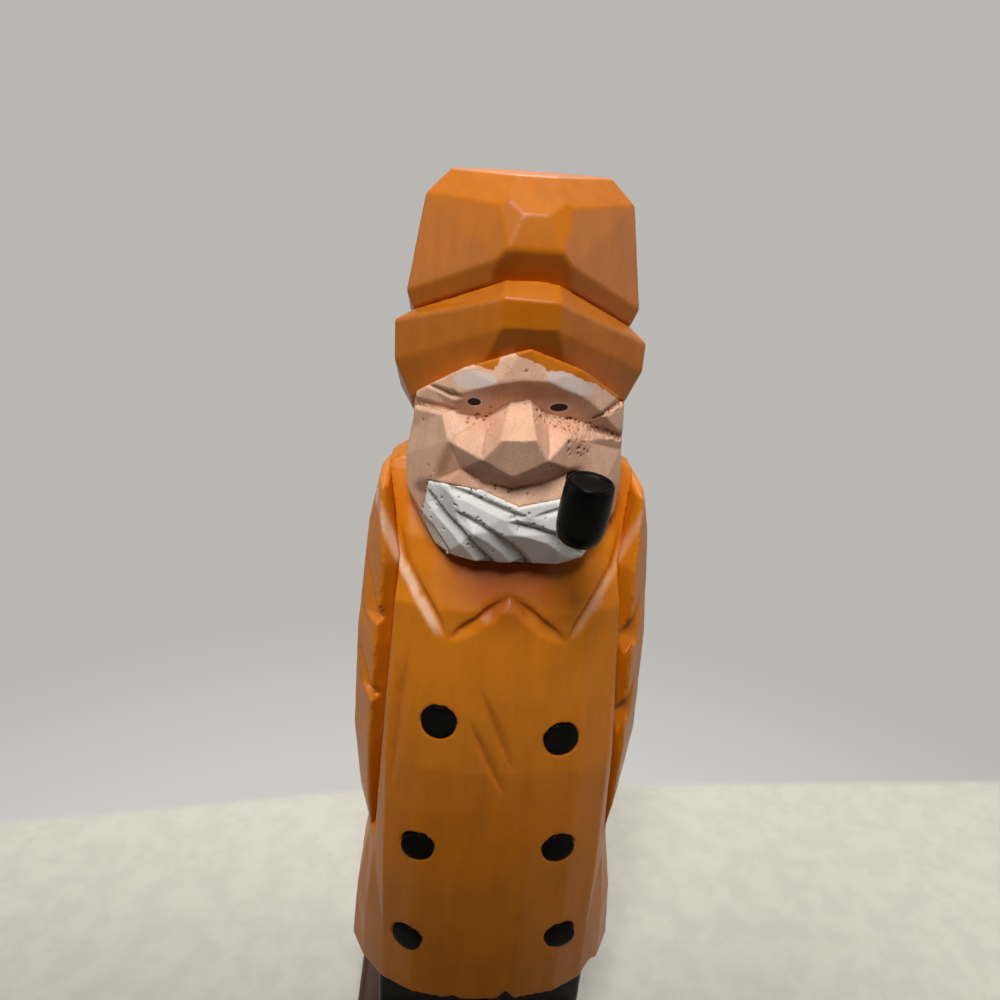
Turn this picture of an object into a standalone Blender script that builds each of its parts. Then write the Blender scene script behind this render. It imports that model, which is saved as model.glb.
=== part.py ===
"""Carved wooden fisherman in oilskins and a sou'wester, with a pipe in the corner of the mouth.

Flat knife strokes shape every piece: a solid is drawn as a few rings or as a block,
planes are sliced off it, and V cuts are taken out with a knife-shaped wedge.
Metres, +Z up. The origin is on the underside of the base, below the middle of the figure,
which faces -Y. Its right hand is at -X.
"""
import math

import bmesh
import bpy
from mathutils import Matrix, Vector
from mathutils.bvhtree import BVHTree

# Gaps between pieces that are glued, pegged or turn on each other
JOINT_GAP = 0.0003
PEG_CLEARANCE = 0.00015
STEM_CLEARANCE = 0.00008

# Base
BASE_WIDTH = 0.069
BASE_DEPTH = 0.064
BASE_HEIGHT = 0.007
BASE_SHIFT = -0.0024
BASE_FRONT = 0.036
BASE_BEVEL = 0.0015

# Boots
BOOT_HEIGHT = 0.0405
BOOT_SPLIT = 0.0046
BOOT_WIDTH = 0.026
BOOT_SHAFT_FRONT = 0.021
BOOT_BACK = 0.017
BOOT_TOE = 0.013
BOOT_TOE_HEIGHT = 0.011
BOOT_HEEL_SWELL = 0.0015
BOOT_OUTER_CUT = 0.005
BOOT_INNER_CUT = 0.004

# Coat
COAT_HEIGHT = 0.1452
HEM_WIDTH = 0.0736
SKIRT_WIDTH = 0.0704
WAIST_WIDTH = 0.0634
SHOULDER_WIDTH = 0.060
HEM_FRONT = 0.029
BELLY_FRONT = 0.026
CHEST_FRONT = 0.0205
THROAT_FRONT = 0.0125
NECK_FRONT = 0.0005
HEM_BACK = 0.028
WAIST_BACK = 0.0255
CHEST_BACK = 0.0215
COLLAR_BACK = 0.0185
FACET_CENTRE = 0.0168
FACET_FLANK = 0.0386
FACET_CORNER = 0.054
COLLAR_WIDTH = 0.0490
THROAT_SHARE = 0.898
FOLD_WIDTH = 0.0028
FOLD_DEPTH = 0.0011
SIDE_FOLD_WIDTH = 0.0040

# Collar and lapels, cut into the coat
COLLAR_POINT_SPREAD = 0.0255
COLLAR_POINT_DROP = 0.0345
COLLAR_OVERRUN = 0.0014
LAPEL_PEAK_DROP = 0.0235
COLLAR_CUT_WIDTH = 0.0032
COLLAR_CUT_DEPTH = 0.0014
LAPEL_CUT_DEPTH = 0.0016

# Sleeves
SLEEVE_LENGTH = 0.1005
SLEEVE_OUT = 0.0353
SLEEVE_SHOULDER_OUT = 0.0290
SLEEVE_CUFF_OUT = 0.0325
SLEEVE_DEPTH = 0.0310
SLEEVE_SEAT_CUFF = 0.0296
SLEEVE_SEAT_ELBOW = 0.0256
SLEEVE_SEAT_ARMPIT = 0.0240
SLEEVE_SEAT_SHOULDER = 0.0270
CREASE_DEPTH = 0.0012
CREASE_REACH = 0.0060

# Buttons, each set by eye: across as a share of the hem's half width, and up as a share of
# the coat's height
BUTTON_DIAMETER = 0.0082
BUTTON_LENGTH = 0.0028
BUTTON_PROUD = 0.0005
BUTTON_PLACES = {
    "button_upper_right": (-0.389, 0.622),
    "button_upper_left": (0.375, 0.596),
    "button_middle_right": (-0.500, 0.367),
    "button_middle_left": (0.435, 0.370),
    "button_lower_right": (-0.565, 0.1405),
    "button_lower_left": (0.524, 0.152),
}

# Head
HEAD_WIDTH = 0.0450
HEAD_FRONT = 0.0225
HEAD_BACK = 0.0195
HEAD_HEIGHT = 0.0455
CHIN_BELOW_COLLAR = 0.0151
CHIN_CLEARANCE = 0.0009

# Beard
BEARD_SEAT = 0.0125

# Sou'wester
BRIM_WIDTH = 0.0502
BRIM_FRONT = 0.0232
BRIM_BACK = 0.0275
BRIM_BAND = 0.0052
CROWN_WIDTH = 0.0456
CROWN_FRONT = 0.0212
CROWN_BACK = 0.0235
CROWN_TAPER = 0.15
HAT_TOP_ABOVE_SEAT = 0.0280
HAT_FACET = 0.0100
HAT_TILT = 0.53
HAT_SHIFT = -0.0005
HAT_ROOF = 0.30
GROOVE_ABOVE_SEAT = 0.0120
CROWN_UNDERCUT = 0.0014
CROWN_UNDERCUT_HEIGHT = 0.0036
CROWN_BEVEL = 0.0038
CROWN_BEVEL_CENTRE = 0.0044
CROWN_CORNER_SPREAD = 0.0042
CENTRE_UNDERCUT = 0.0011
CENTRE_UNDERCUT_RISE = 0.0016
BRIM_CENTRE_RISE = 0.0002
BRIM_CENTRE_CUT = 0.0022
GROOVE_ROOF = 0.074
GROOVE_LEAN = 0.030
BRIM_ROOF = 0.045
BRIM_LEAN = 0.045
BRIM_LEDGE_DROP = 0.0044
BRIM_REAR_DROP = 0.63
BRIM_TUCK = 0.0009
BRIM_BITE = 0.0006

# Pipe
PIPE_BOWL_DIAMETER = 0.0080
PIPE_BOWL_HEIGHT = 0.0127
PIPE_BOWL_DISH = 0.0006
PIPE_BOWL_WALL = 0.0011
PIPE_STEM_DIAMETER = 0.0030
PIPE_STEM_REACH = 0.0150
PIPE_STEM_HOLE = 0.0080
PIPE_STEM_DROOP = 0.17
PIPE_LEAN = 0.09
PIPE_SIDE = 0.0103
PIPE_MOUTH_SHARE = 0.93
PIPE_MOUTH_HEIGHT = 0.0201

# Pegs
NECK_PEG_DIAMETER = 0.010
NECK_PEG_IN_COAT = 0.014
NECK_PEG_IN_HEAD = 0.011
NECK_PEG_SETBACK = 0.0085
HAT_PEG_DIAMETER = 0.008
HAT_PEG_LENGTH = 0.030
HAT_PEG_IN_HEAD = 0.008
HAT_PEG_SETBACK = -0.003
LEG_PEG_DIAMETER = 0.006
LEG_PEG_IN_BASE = 0.0045
LEG_PEG_IN_COAT = 0.022

# Levels that follow from the sizes above
BOOT_SOLE = BASE_HEIGHT + JOINT_GAP
HEM_LEVEL = BASE_HEIGHT + BOOT_HEIGHT
COLLAR_LEVEL = HEM_LEVEL + COAT_HEIGHT
CHIN_LEVEL = COLLAR_LEVEL - CHIN_BELOW_COLLAR
SEAT_LEVEL = CHIN_LEVEL + HEAD_HEIGHT

# Drawing aids: sides of a round piece, the start of a line aimed at the front, and the
# height of a knife cut's two ends above the surface
ROUND_SIDES = 24
FAR_AHEAD = -0.1
END_LIFT = 0.00005


def clear_scene():
    """Removes whatever the file opened with."""
    for item in list(bpy.data.objects):
        bpy.data.objects.remove(item)


def paint(name, colour, roughness):
    """A plain painted-wood material."""
    material = bpy.data.materials.new(name)
    material.use_nodes = True
    shader = material.node_tree.nodes["Principled BSDF"]
    shader.inputs["Base Color"].default_value = (*colour, 1.0)
    shader.inputs["Roughness"].default_value = roughness
    shader.inputs["Metallic"].default_value = 0.0
    return material


def place(name, bm, material=None):
    """Turns a bmesh into a named object, with its place kept in its mesh."""
    bmesh.ops.recalc_face_normals(bm, faces=bm.faces)
    bmesh.ops.triangulate(bm, faces=bm.faces)
    mesh = bpy.data.meshes.new(name)
    bm.to_mesh(mesh)
    bm.free()
    if material:
        mesh.materials.append(material)
    thing = bpy.data.objects.new(name, mesh)
    bpy.context.scene.collection.objects.link(thing)
    return thing


def shade_round(thing):
    """Shades a turned piece smooth, and keeps its real edges crisp."""
    thing.data.shade_smooth()
    thing.data.set_sharp_from_angle(angle=math.radians(30))


def set_origin(thing, point):
    """Moves an object's origin to a point and leaves its shape where it is."""
    thing.data.transform(Matrix.Translation(-point))
    thing.location = point


def stack(rings):
    """A closed solid through rings of points that all have the same count, lowest ring first."""
    bm = bmesh.new()
    rows = [[bm.verts.new(point) for point in ring] for ring in rings]
    for low, high in zip(rows, rows[1:]):
        for i in range(len(low)):
            j = (i + 1) % len(low)
            bm.faces.new((low[i], low[j], high[j], high[i]))
    bm.faces.new(list(reversed(rows[0])))
    bm.faces.new(rows[-1])
    return bm


def prism(outline, start, end, axis):
    """A closed solid of one outline, drawn in the other two axes and pulled along the given one."""
    def point(pair, along):
        values = list(pair)
        values.insert(axis, along)
        return Vector(values)
    return stack([[point(pair, along) for pair in outline] for along in (start, end)])


def block(low, high):
    """A plain block between two corners."""
    outline = [(low[0], low[1]), (high[0], low[1]), (high[0], high[1]), (low[0], high[1])]
    return prism(outline, low[2], high[2], 2)


def slice_off(bm, point, normal):
    """Takes off what lies on the normal's side of a plane, as one flat knife stroke."""
    parts = bm.verts[:] + bm.edges[:] + bm.faces[:]
    normal = Vector(normal).normalized()
    cut = bmesh.ops.bisect_plane(bm, geom=parts, plane_co=Vector(point), plane_no=normal,
                                 clear_outer=True, dist=1e-7)
    rim = [item for item in cut["geom_cut"] if isinstance(item, bmesh.types.BMEdge)]
    bmesh.ops.holes_fill(bm, edges=rim)


def carve(target, cutter):
    """Takes the cutter's shape out of the target, and removes the cutter."""
    merge(target, cutter, "DIFFERENCE")


def merge(target, cutter, operation):
    """Applies one Boolean to the target's mesh, and removes the cutter."""
    step = target.modifiers.new("cut", "BOOLEAN")
    step.operation = operation
    step.solver = "EXACT"
    step.object = cutter
    bpy.context.view_layer.update()
    depsgraph = bpy.context.evaluated_depsgraph_get()
    mesh = bpy.data.meshes.new_from_object(target.evaluated_get(depsgraph))
    target.modifiers.remove(step)
    old = target.data
    target.data = mesh
    mesh.name = target.name
    bpy.data.meshes.remove(old)
    bpy.data.objects.remove(cutter)


def rod(start, end, radius, sides=ROUND_SIDES):
    """A round bar between two points."""
    start, end = Vector(start), Vector(end)
    along = end - start
    bm = bmesh.new()
    turn = along.to_track_quat("Z", "Y").to_matrix().to_4x4()
    middle = Matrix.Translation((start + end) / 2)
    bmesh.ops.create_cone(bm, cap_ends=True, segments=sides, radius1=radius, radius2=radius,
                          depth=along.length, matrix=middle @ turn)
    return bm


def drill(target, start, end, radius):
    """Bores a round hole between two points."""
    carve(target, place("drill", rod(start, end, radius)))


def surface_at(target, start, aim):
    """The point and normal where a line from start along aim first meets the target."""
    tree = BVHTree.FromObject(target, bpy.context.evaluated_depsgraph_get())
    aim = Vector(aim).normalized()
    point, normal, _, _ = tree.ray_cast(Vector(start) - aim, aim)
    return point, normal


def knife_cut(target, starts, width, depth, lean=0.0):
    """A V cut along a path, laid on the target's surface straight behind the path's points.

    It tapers out at both ends. lean moves the bottom of the V sideways, so that one wall
    is steep and the other a wide flat one.
    """
    hits = [surface_at(target, start, (0, 1, 0)) for start in starts]
    lift = depth
    sections = []
    for i, (point, normal) in enumerate(hits):
        if i in (0, len(hits) - 1):
            sections.append([point + normal * END_LIFT])
            continue
        side = (hits[i + 1][0] - hits[i - 1][0]).cross(normal).normalized()
        bottom = lean * width / 2
        reach = (depth + lift) / depth
        left = bottom + (-width / 2 - bottom) * reach
        right = bottom + (width / 2 - bottom) * reach
        sections.append([point - normal * depth + side * bottom,
                         point + normal * lift + side * right,
                         point + normal * lift + side * left])
    bm = bmesh.new()
    rows = [[bm.verts.new(point) for point in section] for section in sections]
    for near, far in zip(rows, rows[1:]):
        for i in range(3):
            j = (i + 1) % 3
            corners = [near[i % len(near)], near[j % len(near)], far[j % len(far)], far[i % len(far)]]
            bm.faces.new(list(dict.fromkeys(corners)))
    for row in (rows[0], rows[-1]):
        if len(row) == 3:
            bm.faces.new(row)
    carve(target, place("knife", bm))


def notch(target, upper, lower, depth):
    """A flat knife stroke across a ridge that stops at a steep wall.

    upper holds the wall's two ends and lower the flat's far edge, both as points ahead of the target
    and both from the outside inwards. The wall is deepest at its first end, and the stroke runs on
    past that end.
    """
    rings = []
    for top, rim, sink in zip(upper, lower, (depth, depth / 4)):
        bottom = surface_at(target, top, (0, 1, 0))[0] + Vector((0, sink, 0))
        edge = surface_at(target, rim, (0, 1, 0))[0]
        rings.append([bottom, bottom - Vector((0, CREASE_REACH, 0)), bottom + (edge - bottom) * 1.8])
    beyond = [near + (near - far) * 0.6 for near, far in zip(*rings)]
    carve(target, place("knife", stack([beyond] + rings)))


def spaced(start, end, count):
    """Evenly spaced points from start to end."""
    start, end = Vector(start), Vector(end)
    return [start.lerp(end, i / (count - 1)) for i in range(count)]


def seat_line():
    """Across and up, the line where a sleeve lies against the coat, from cuff to shoulder."""
    cuff = COLLAR_LEVEL - SLEEVE_LENGTH - JOINT_GAP
    return [
        (SLEEVE_SEAT_CUFF, cuff),
        (SLEEVE_SEAT_ELBOW, cuff + SLEEVE_LENGTH * 0.60),
        (SLEEVE_SEAT_ARMPIT, cuff + SLEEVE_LENGTH * 0.81),
        (SLEEVE_SEAT_SHOULDER, cuff + SLEEVE_LENGTH * 0.98),
    ]


def coat_ring(level, half_width, front, back, narrow):
    """One level of the coat: broad flat facets in front and behind, turning in at the sides."""
    centre = FACET_CENTRE / 2 * narrow
    flank = FACET_FLANK / 2 * narrow
    corner = FACET_CORNER / 2 * narrow
    turn = corner + (half_width - corner) * 0.62
    quarter = [(centre, 1.0), (flank, 0.925), (corner, 0.79), (turn, 0.58), (half_width, 0.34)]
    ring = [Vector((x, -front * share, level)) for x, share in quarter]
    ring += [Vector((x, back * share, level)) for x, share in reversed(quarter)]
    ring += [Vector((-x, back * share, level)) for x, share in quarter]
    ring += [Vector((-x, -front * share, level)) for x, share in reversed(quarter)]
    return ring


def make_coat(material):
    """Body of the coat from hem to collar, with seats for the sleeves, pegs and buttons."""
    throat = [(THROAT_SHARE, THROAT_FRONT), (1.0, NECK_FRONT)]
    levels = [
        (0.000, HEM_WIDTH / 2, HEM_FRONT, HEM_BACK, 1.00),
        (0.140, SKIRT_WIDTH / 2, HEM_FRONT * 0.975, HEM_BACK * 0.975, 1.00),
        (0.290, WAIST_WIDTH / 2, (HEM_FRONT + BELLY_FRONT) / 2, WAIST_BACK, 1.00),
        (0.535, WAIST_WIDTH / 2, BELLY_FRONT, WAIST_BACK, 0.97),
        (0.810, SHOULDER_WIDTH / 2, CHEST_FRONT, CHEST_BACK, 0.90),
        (THROAT_SHARE, SHOULDER_WIDTH / 2, THROAT_FRONT, (CHEST_BACK + COLLAR_BACK) / 2, 0.84),
        (0.982, SHOULDER_WIDTH / 2, between(throat, 0.982), COLLAR_BACK, 0.84),
        (1.000, COLLAR_WIDTH / 2, NECK_FRONT, COLLAR_BACK - 0.0015, 0.80),
    ]
    rings = [coat_ring(HEM_LEVEL + share * COAT_HEIGHT, *sizes) for share, *sizes in levels]
    coat = place("coat", stack(rings), material)
    for side in (-1, 1):
        line = seat_line()
        outline = [(side * x, z) for x, z in line]
        outline += [(side * SLEEVE_SEAT_SHOULDER, COLLAR_LEVEL + 0.01)]
        outline += [(side * 0.06, COLLAR_LEVEL + 0.01), (side * 0.06, line[0][1] - 0.003)]
        carve(coat, place("seat", prism(outline, -0.05, 0.05, 1)))
    cut_collar(coat)
    cut_folds(coat)
    return coat


def cut_collar(coat):
    """Each side of the collar down to its point, and the lapel's edge from there up to the middle, as V cuts.

    Both cuts run a little past the point where they meet.
    """
    shoulder = seat_line()
    for side in (-1, 1):
        point = Vector((side * COLLAR_POINT_SPREAD / 2, FAR_AHEAD, COLLAR_LEVEL - COLLAR_POINT_DROP))
        armpit = Vector((side * (shoulder[2][0] - 0.0007), FAR_AHEAD, shoulder[2][1]))
        top = Vector((side * (shoulder[3][0] - 0.0012), FAR_AHEAD, shoulder[3][1] - 0.004))
        past_point = point + (point - armpit).normalized() * COLLAR_OVERRUN
        knife_cut(coat, [top] + spaced(armpit, past_point, 4), COLLAR_CUT_WIDTH, COLLAR_CUT_DEPTH, 0.55 * side)
    for side in (-1, 1):
        point = Vector((side * COLLAR_POINT_SPREAD / 2, FAR_AHEAD, COLLAR_LEVEL - COLLAR_POINT_DROP))
        peak = Vector((-side * 0.0012, FAR_AHEAD, COLLAR_LEVEL - LAPEL_PEAK_DROP))
        below = point + (point - peak).normalized() * COLLAR_OVERRUN
        knife_cut(coat, spaced(below, peak, 5), COLLAR_CUT_WIDTH, LAPEL_CUT_DEPTH, 0.55 * side)


def coat_place(across, up):
    """A point ahead of the coat, given in shares of the hem's half width and the coat's height."""
    return Vector((across * HEM_WIDTH / 2, FAR_AHEAD, HEM_LEVEL + up * COAT_HEIGHT))


def cut_folds(coat):
    """Creases across the front, a long fold beside one sleeve, and the torn-looking hem."""
    folds = [
        (-0.332, 0.647, 0.102, 0.477, FOLD_WIDTH),
        (-0.234, 0.698, 0.157, 0.527, FOLD_WIDTH),
        (-0.820, 0.764, -1.000, 0.452, SIDE_FOLD_WIDTH),
    ]
    for across0, up0, across1, up1, width in folds:
        start = (across0 * SLEEVE_SEAT_ELBOW, FAR_AHEAD, HEM_LEVEL + up0 * COAT_HEIGHT)
        end = (across1 * SLEEVE_SEAT_ELBOW, FAR_AHEAD, HEM_LEVEL + up1 * COAT_HEIGHT)
        knife_cut(coat, spaced(start, end, 4), width, FOLD_DEPTH, 0.3)
    tears = [(-0.217, 0.068, 0.011), (0.169, 0.076, 0.0234), (0.815, 0.082, 0.0152)]
    for middle, spread, up in tears:
        corners = [coat_place(middle + way * spread, low) for way, low in ((-1, -0.003), (1, -0.003), (0, up))]
        outline = [(corner.x, corner.z) for corner in corners]
        carve(coat, place("notch", prism(outline, -HEM_FRONT * 1.3, -HEM_FRONT * 0.6, 1)))


def between(line, value):
    """Straight-line reading of a list of (value, result) pairs, held flat past its ends."""
    for (low, start), (high, end) in zip(line, line[1:]):
        if value <= high:
            share = max(0.0, (value - low) / (high - low))
            return start + (end - start) * share
    return line[-1][1]


def make_sleeve(name, side, creases, material):
    """One arm, lying against the coat's side with its hand in the pocket.

    Each crease is the two ends of its wall and then of its flat's far edge, in shares of the
    sleeve's width there and of its length.
    """
    seat = [(level, across) for across, level in seat_line()]
    cuff = seat[0][0] + JOINT_GAP
    top = seat[3][0] - 0.0015
    length = top - cuff
    outer = [(0.00, SLEEVE_CUFF_OUT), (0.10, SLEEVE_OUT - 0.0011), (0.32, SLEEVE_OUT),
             (0.62, SLEEVE_OUT - 0.0014), (0.90, SLEEVE_OUT - 0.0042), (1.00, SLEEVE_SHOULDER_OUT)]
    fullness = [(0.00, 0.72), (0.14, 0.90), (0.40, 1.00), (0.80, 0.94), (1.00, 0.62)]
    shares = [share for share, _ in outer] + [(level - cuff) / length for level, _ in seat[1:3]]
    rings = []
    for share in sorted(shares):
        level = cuff + share * length
        near = between(seat, level) + JOINT_GAP
        far = between(outer, share)
        deep = SLEEVE_DEPTH / 2 * between(fullness, share)
        step = (far - near) * 0.42
        ring = [(near, -deep * 0.80), (near + step, -deep), (far, -deep * 0.45),
                (far, deep * 0.45), (near + step, deep), (near, deep * 0.80)]
        rings.append([Vector((side * x, y, level)) for x, y in ring])
    sleeve = place(name, stack(rings), material)
    for crease in creases:
        ends = []
        for across, up in crease:
            level = cuff + up * SLEEVE_LENGTH
            near = between(seat, level) + JOINT_GAP
            far = between(outer, (level - cuff) / length)
            ends.append(Vector((side * (near + (far - near) * across), FAR_AHEAD, level)))
        notch(sleeve, ends[:2], ends[2:], CREASE_DEPTH)


def hat_outline(half_width, front, back, facet, inset=0.0):
    """Plan of the hat: a flat at the front, two long slants, sides, and a flat behind."""
    quarter = [(facet / 2, -front), (half_width, -front * 0.25)]
    quarter += [(half_width, back * 0.38), (facet * 0.9, back)]
    points = quarter + [(-x, y) for x, y in reversed(quarter)]
    scale = 1.0 - inset / half_width
    return [(x * scale + HAT_SHIFT, y * scale) for x, y in points]


def seat_height(x, y, lift=0.0):
    """Height of the tilted, roof-shaped face where the hat sits on the head."""
    return SEAT_LEVEL + lift - HAT_TILT * (y + HEAD_FRONT) - HAT_ROOF * abs(x)


def groove_height(x, y, lift=0.0):
    """Height of the tilted, roof-shaped face where the hat's crown sits on its brim."""
    drop = HAT_TILT * (y + CROWN_FRONT) + GROOVE_ROOF * abs(x) + GROOVE_LEAN * x
    return SEAT_LEVEL + GROOVE_ABOVE_SEAT + lift - drop


def groove_normal(side):
    """Upward normal of one slope of the face between crown and brim."""
    return Vector((side * GROOVE_ROOF + GROOVE_LEAN, HAT_TILT, 1.0)).normalized()


def roof_normal(side):
    """Upward normal of one slope of the hat's seat."""
    return Vector((side * HAT_ROOF, HAT_TILT, 1.0)).normalized()


def make_crown(material):
    """The sou'wester's tall crown, undercut all round where it meets the brim."""
    half = CROWN_WIDTH / 2
    top = SEAT_LEVEL + HAT_TOP_ABOVE_SEAT
    under = hat_outline(half, CROWN_FRONT, CROWN_BACK, HAT_FACET, CROWN_UNDERCUT)
    wall = hat_outline(half, CROWN_FRONT, CROWN_BACK, HAT_FACET)
    inset = CROWN_TAPER * (top - groove_height(0, 0))
    lid = hat_outline(half, CROWN_FRONT, CROWN_BACK, HAT_FACET, inset)
    rings = [
        [(x, y, groove_height(x, y, -JOINT_GAP)) for x, y in under],
        [(x, y, groove_height(x, y, CROWN_UNDERCUT_HEIGHT)) for x, y in wall],
        [(x, y, top) for x, y in lid],
    ]
    bm = stack([[Vector(point) for point in ring] for ring in rings])
    for (x0, y0), (x1, y1) in zip(lid, lid[1:] + lid[:1]):
        middle = Vector(((x0 + x1) / 2, (y0 + y1) / 2, top))
        outward = Vector((y1 - y0, x0 - x1, 0)).normalized()
        if outward.dot(middle.xy.to_3d()) < 0:
            outward = -outward
        centre = abs(outward.x) < 0.1 and outward.y < 0
        depth = CROWN_BEVEL_CENTRE if centre else CROWN_BEVEL
        slice_off(bm, middle - outward * depth, outward + Vector((0, 0, 1.05)))
    wall_low = groove_height(0, -CROWN_FRONT, CROWN_UNDERCUT_HEIGHT)
    lid_front = min(y for _, y in lid)
    wall_lean = (lid_front + CROWN_FRONT) / (top - wall_low)
    bevel_drop = CROWN_BEVEL_CENTRE / (1.05 - wall_lean)
    for side in (-1, 1):
        corner = (HAT_SHIFT + side * CROWN_CORNER_SPREAD / 2, lid_front - wall_lean * bevel_drop, top - bevel_drop)
        slice_off(bm, corner, (side * 0.375, -0.93, 0.453))
    low = groove_height(0, -CROWN_FRONT)
    rise = CROWN_UNDERCUT_HEIGHT + CENTRE_UNDERCUT_RISE
    back = CROWN_UNDERCUT + CENTRE_UNDERCUT
    slice_off(bm, (0, -CROWN_FRONT + back, low), (0, -rise, -back))
    crown = place("hat_crown", bm, material)
    under = block((-0.05, -0.05, SEAT_LEVEL - 0.05), (0.05, 0.05, SEAT_LEVEL + 0.05))
    for side in (-1, 1):
        slice_off(under, (0, -CROWN_FRONT, SEAT_LEVEL + GROOVE_ABOVE_SEAT + JOINT_GAP), groove_normal(side))
    carve(crown, place("brim_room", under))
    return crown


def make_brim(material):
    """The turned-up brim: a sloping ledge, an outer band that is deeper behind, and a tucked underside."""
    half = BRIM_WIDTH / 2
    edge = hat_outline(half, BRIM_FRONT, BRIM_BACK, HAT_FACET)
    ledge = hat_outline(CROWN_WIDTH / 2, CROWN_FRONT, CROWN_BACK, HAT_FACET, CROWN_UNDERCUT)
    tuck = hat_outline(HEAD_WIDTH / 2 - BRIM_TUCK, HEAD_FRONT - BRIM_TUCK, HEAD_BACK, HAT_FACET)
    front_edge = groove_height(0, -BRIM_FRONT) - BRIM_LEDGE_DROP
    above = groove_height(0, -CROWN_FRONT, BRIM_LEDGE_DROP)
    rings = [
        [(x, y, seat_height(x, y) - BRIM_BITE) for x, y in tuck],
        [(x, y, front_edge - BRIM_BAND - BRIM_REAR_DROP * (y + BRIM_FRONT)) for x, y in edge],
        [(x, y, front_edge - HAT_TILT * 0.9 * (y + BRIM_FRONT) - BRIM_ROOF * abs(x) - BRIM_LEAN * x)
         for x, y in edge],
        [(x, y, groove_height(x, y)) for x, y in ledge],
        [(x, y, above) for x, y in ledge],
    ]
    bm = stack([[Vector(point) for point in ring] for ring in rings])
    for side in (-1, 1):
        slice_off(bm, (0, -CROWN_FRONT, SEAT_LEVEL + GROOVE_ABOVE_SEAT), groove_normal(side))
    low = SEAT_LEVEL - BRIM_BITE
    rise = front_edge - BRIM_BAND + BRIM_CENTRE_RISE - low
    slice_off(bm, (0, -BRIM_FRONT + BRIM_CENTRE_CUT, low), (0, -rise, -BRIM_CENTRE_CUT))
    brim = place("hat_brim", bm, material)
    under = block((-0.05, -0.05, SEAT_LEVEL - 0.08), (0.05, 0.05, SEAT_LEVEL + 0.03))
    for side in (-1, 1):
        slice_off(under, (0, -HEAD_FRONT, SEAT_LEVEL + JOINT_GAP), roof_normal(side))
    carve(brim, place("head_room", under))
    return brim


def face_points():
    """Corners of the carved face, in shares of the head's half width, front depth and height."""
    return {
        "top_l": (-0.94, 0.42, 1.06), "top_lc": (-0.47, 0.90, 1.06), "top_c": (-0.04, 0.97, 1.06),
        "top_rc": (0.43, 0.90, 1.06), "top_r": (0.94, 0.42, 1.06),
        "brow_l0": (-0.91, 0.49, 0.770), "brow_l1": (-0.573, 0.91, 0.791), "brow_l2": (-0.262, 1.0, 0.850),
        "brow_c": (-0.062, 1.0, 0.872), "brow_r2": (0.156, 1.0, 0.872), "brow_r1": (0.471, 0.91, 0.802),
        "brow_r1b": (0.649, 0.80, 0.730), "brow_r0": (0.91, 0.49, 0.725),
        "sock_l0": (-0.942, 0.467, 0.670), "sock_l1": (-0.611, 0.77, 0.693),
        "sock_l2": (-0.335, 0.82, 0.672),
        "root_l": (-0.119, 0.86, 0.756), "root_r": (0.032, 0.86, 0.770), "sock_r2": (0.19, 0.80, 0.703),
        "sock_r1": (0.489, 0.77, 0.672), "sock_r0": (0.947, 0.467, 0.560),
        "tip_l": (-0.212, 1.25, 0.656), "tip_r": (0.074, 1.25, 0.664),
        "fold_l": (-0.311, 0.969, 0.637), "fold_r": (0.190, 0.969, 0.630),
        "wing_l": (-0.350, 1.209, 0.564), "wing_r": (0.187, 1.208, 0.570), "lip_c": (-0.091, 1.175, 0.488),
        "lip_l": (-0.217, 1.191, 0.523), "lip_r": (0.121, 1.197, 0.546),
        "cheek_lt": (-0.698, 0.80, 0.688), "cheek_lm": (-0.636, 0.942, 0.591),
        "cheek_rm": (0.373, 0.987, 0.631), "cheek_rl": (0.382, 1.004, 0.503),
        "cheek_r2": (0.533, 0.907, 0.609), "cheek_r3": (0.507, 0.933, 0.503),
        "mouth_l": (-0.511, 0.956, 0.468), "mouth_r": (0.467, 0.933, 0.479),
        "mouth_b1": (-0.308, 0.969, 0.412), "mouth_b2": (-0.069, 0.985, 0.398),
        "mouth_b3": (0.167, 0.978, 0.421),
        "side_l1": (-0.960, 0.40, 0.552), "side_l2": (-1.018, 0.40, 0.415), "side_l3": (-1.012, 0.40, 0.259),
        "side_r1": (0.964, 0.40, 0.484), "side_r2": (1.0, 0.40, 0.319), "side_r3": (0.978, 0.42, 0.176),
        "jaw_l": (-0.738, 0.822, 0.385), "jaw_r": (0.747, 0.822, 0.391),
        "beard_t1": (-0.640, 0.956, 0.389), "beard_t2": (-0.351, 1.036, 0.385),
        "beard_t3": (-0.009, 1.093, 0.321),
        "beard_t4": (0.360, 1.031, 0.354), "beard_t5": (0.640, 0.933, 0.393),
        "beard_l1": (-0.791, 0.689, 0.143), "beard_m1": (-0.378, 1.067, 0.190),
        "beard_m2": (0.356, 1.067, 0.190), "beard_r1": (0.791, 0.689, 0.143),
        "beard_b0": (-0.622, 0.756, 0.005), "beard_b1": (-0.333, 0.867, 0.0),
        "beard_b2": (0.400, 0.867, 0.0), "beard_b3": (0.640, 0.756, 0.01),
        "low_l": (-0.822, 0.40, 0.02), "low_r": (0.844, 0.40, 0.02),
    }


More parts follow.
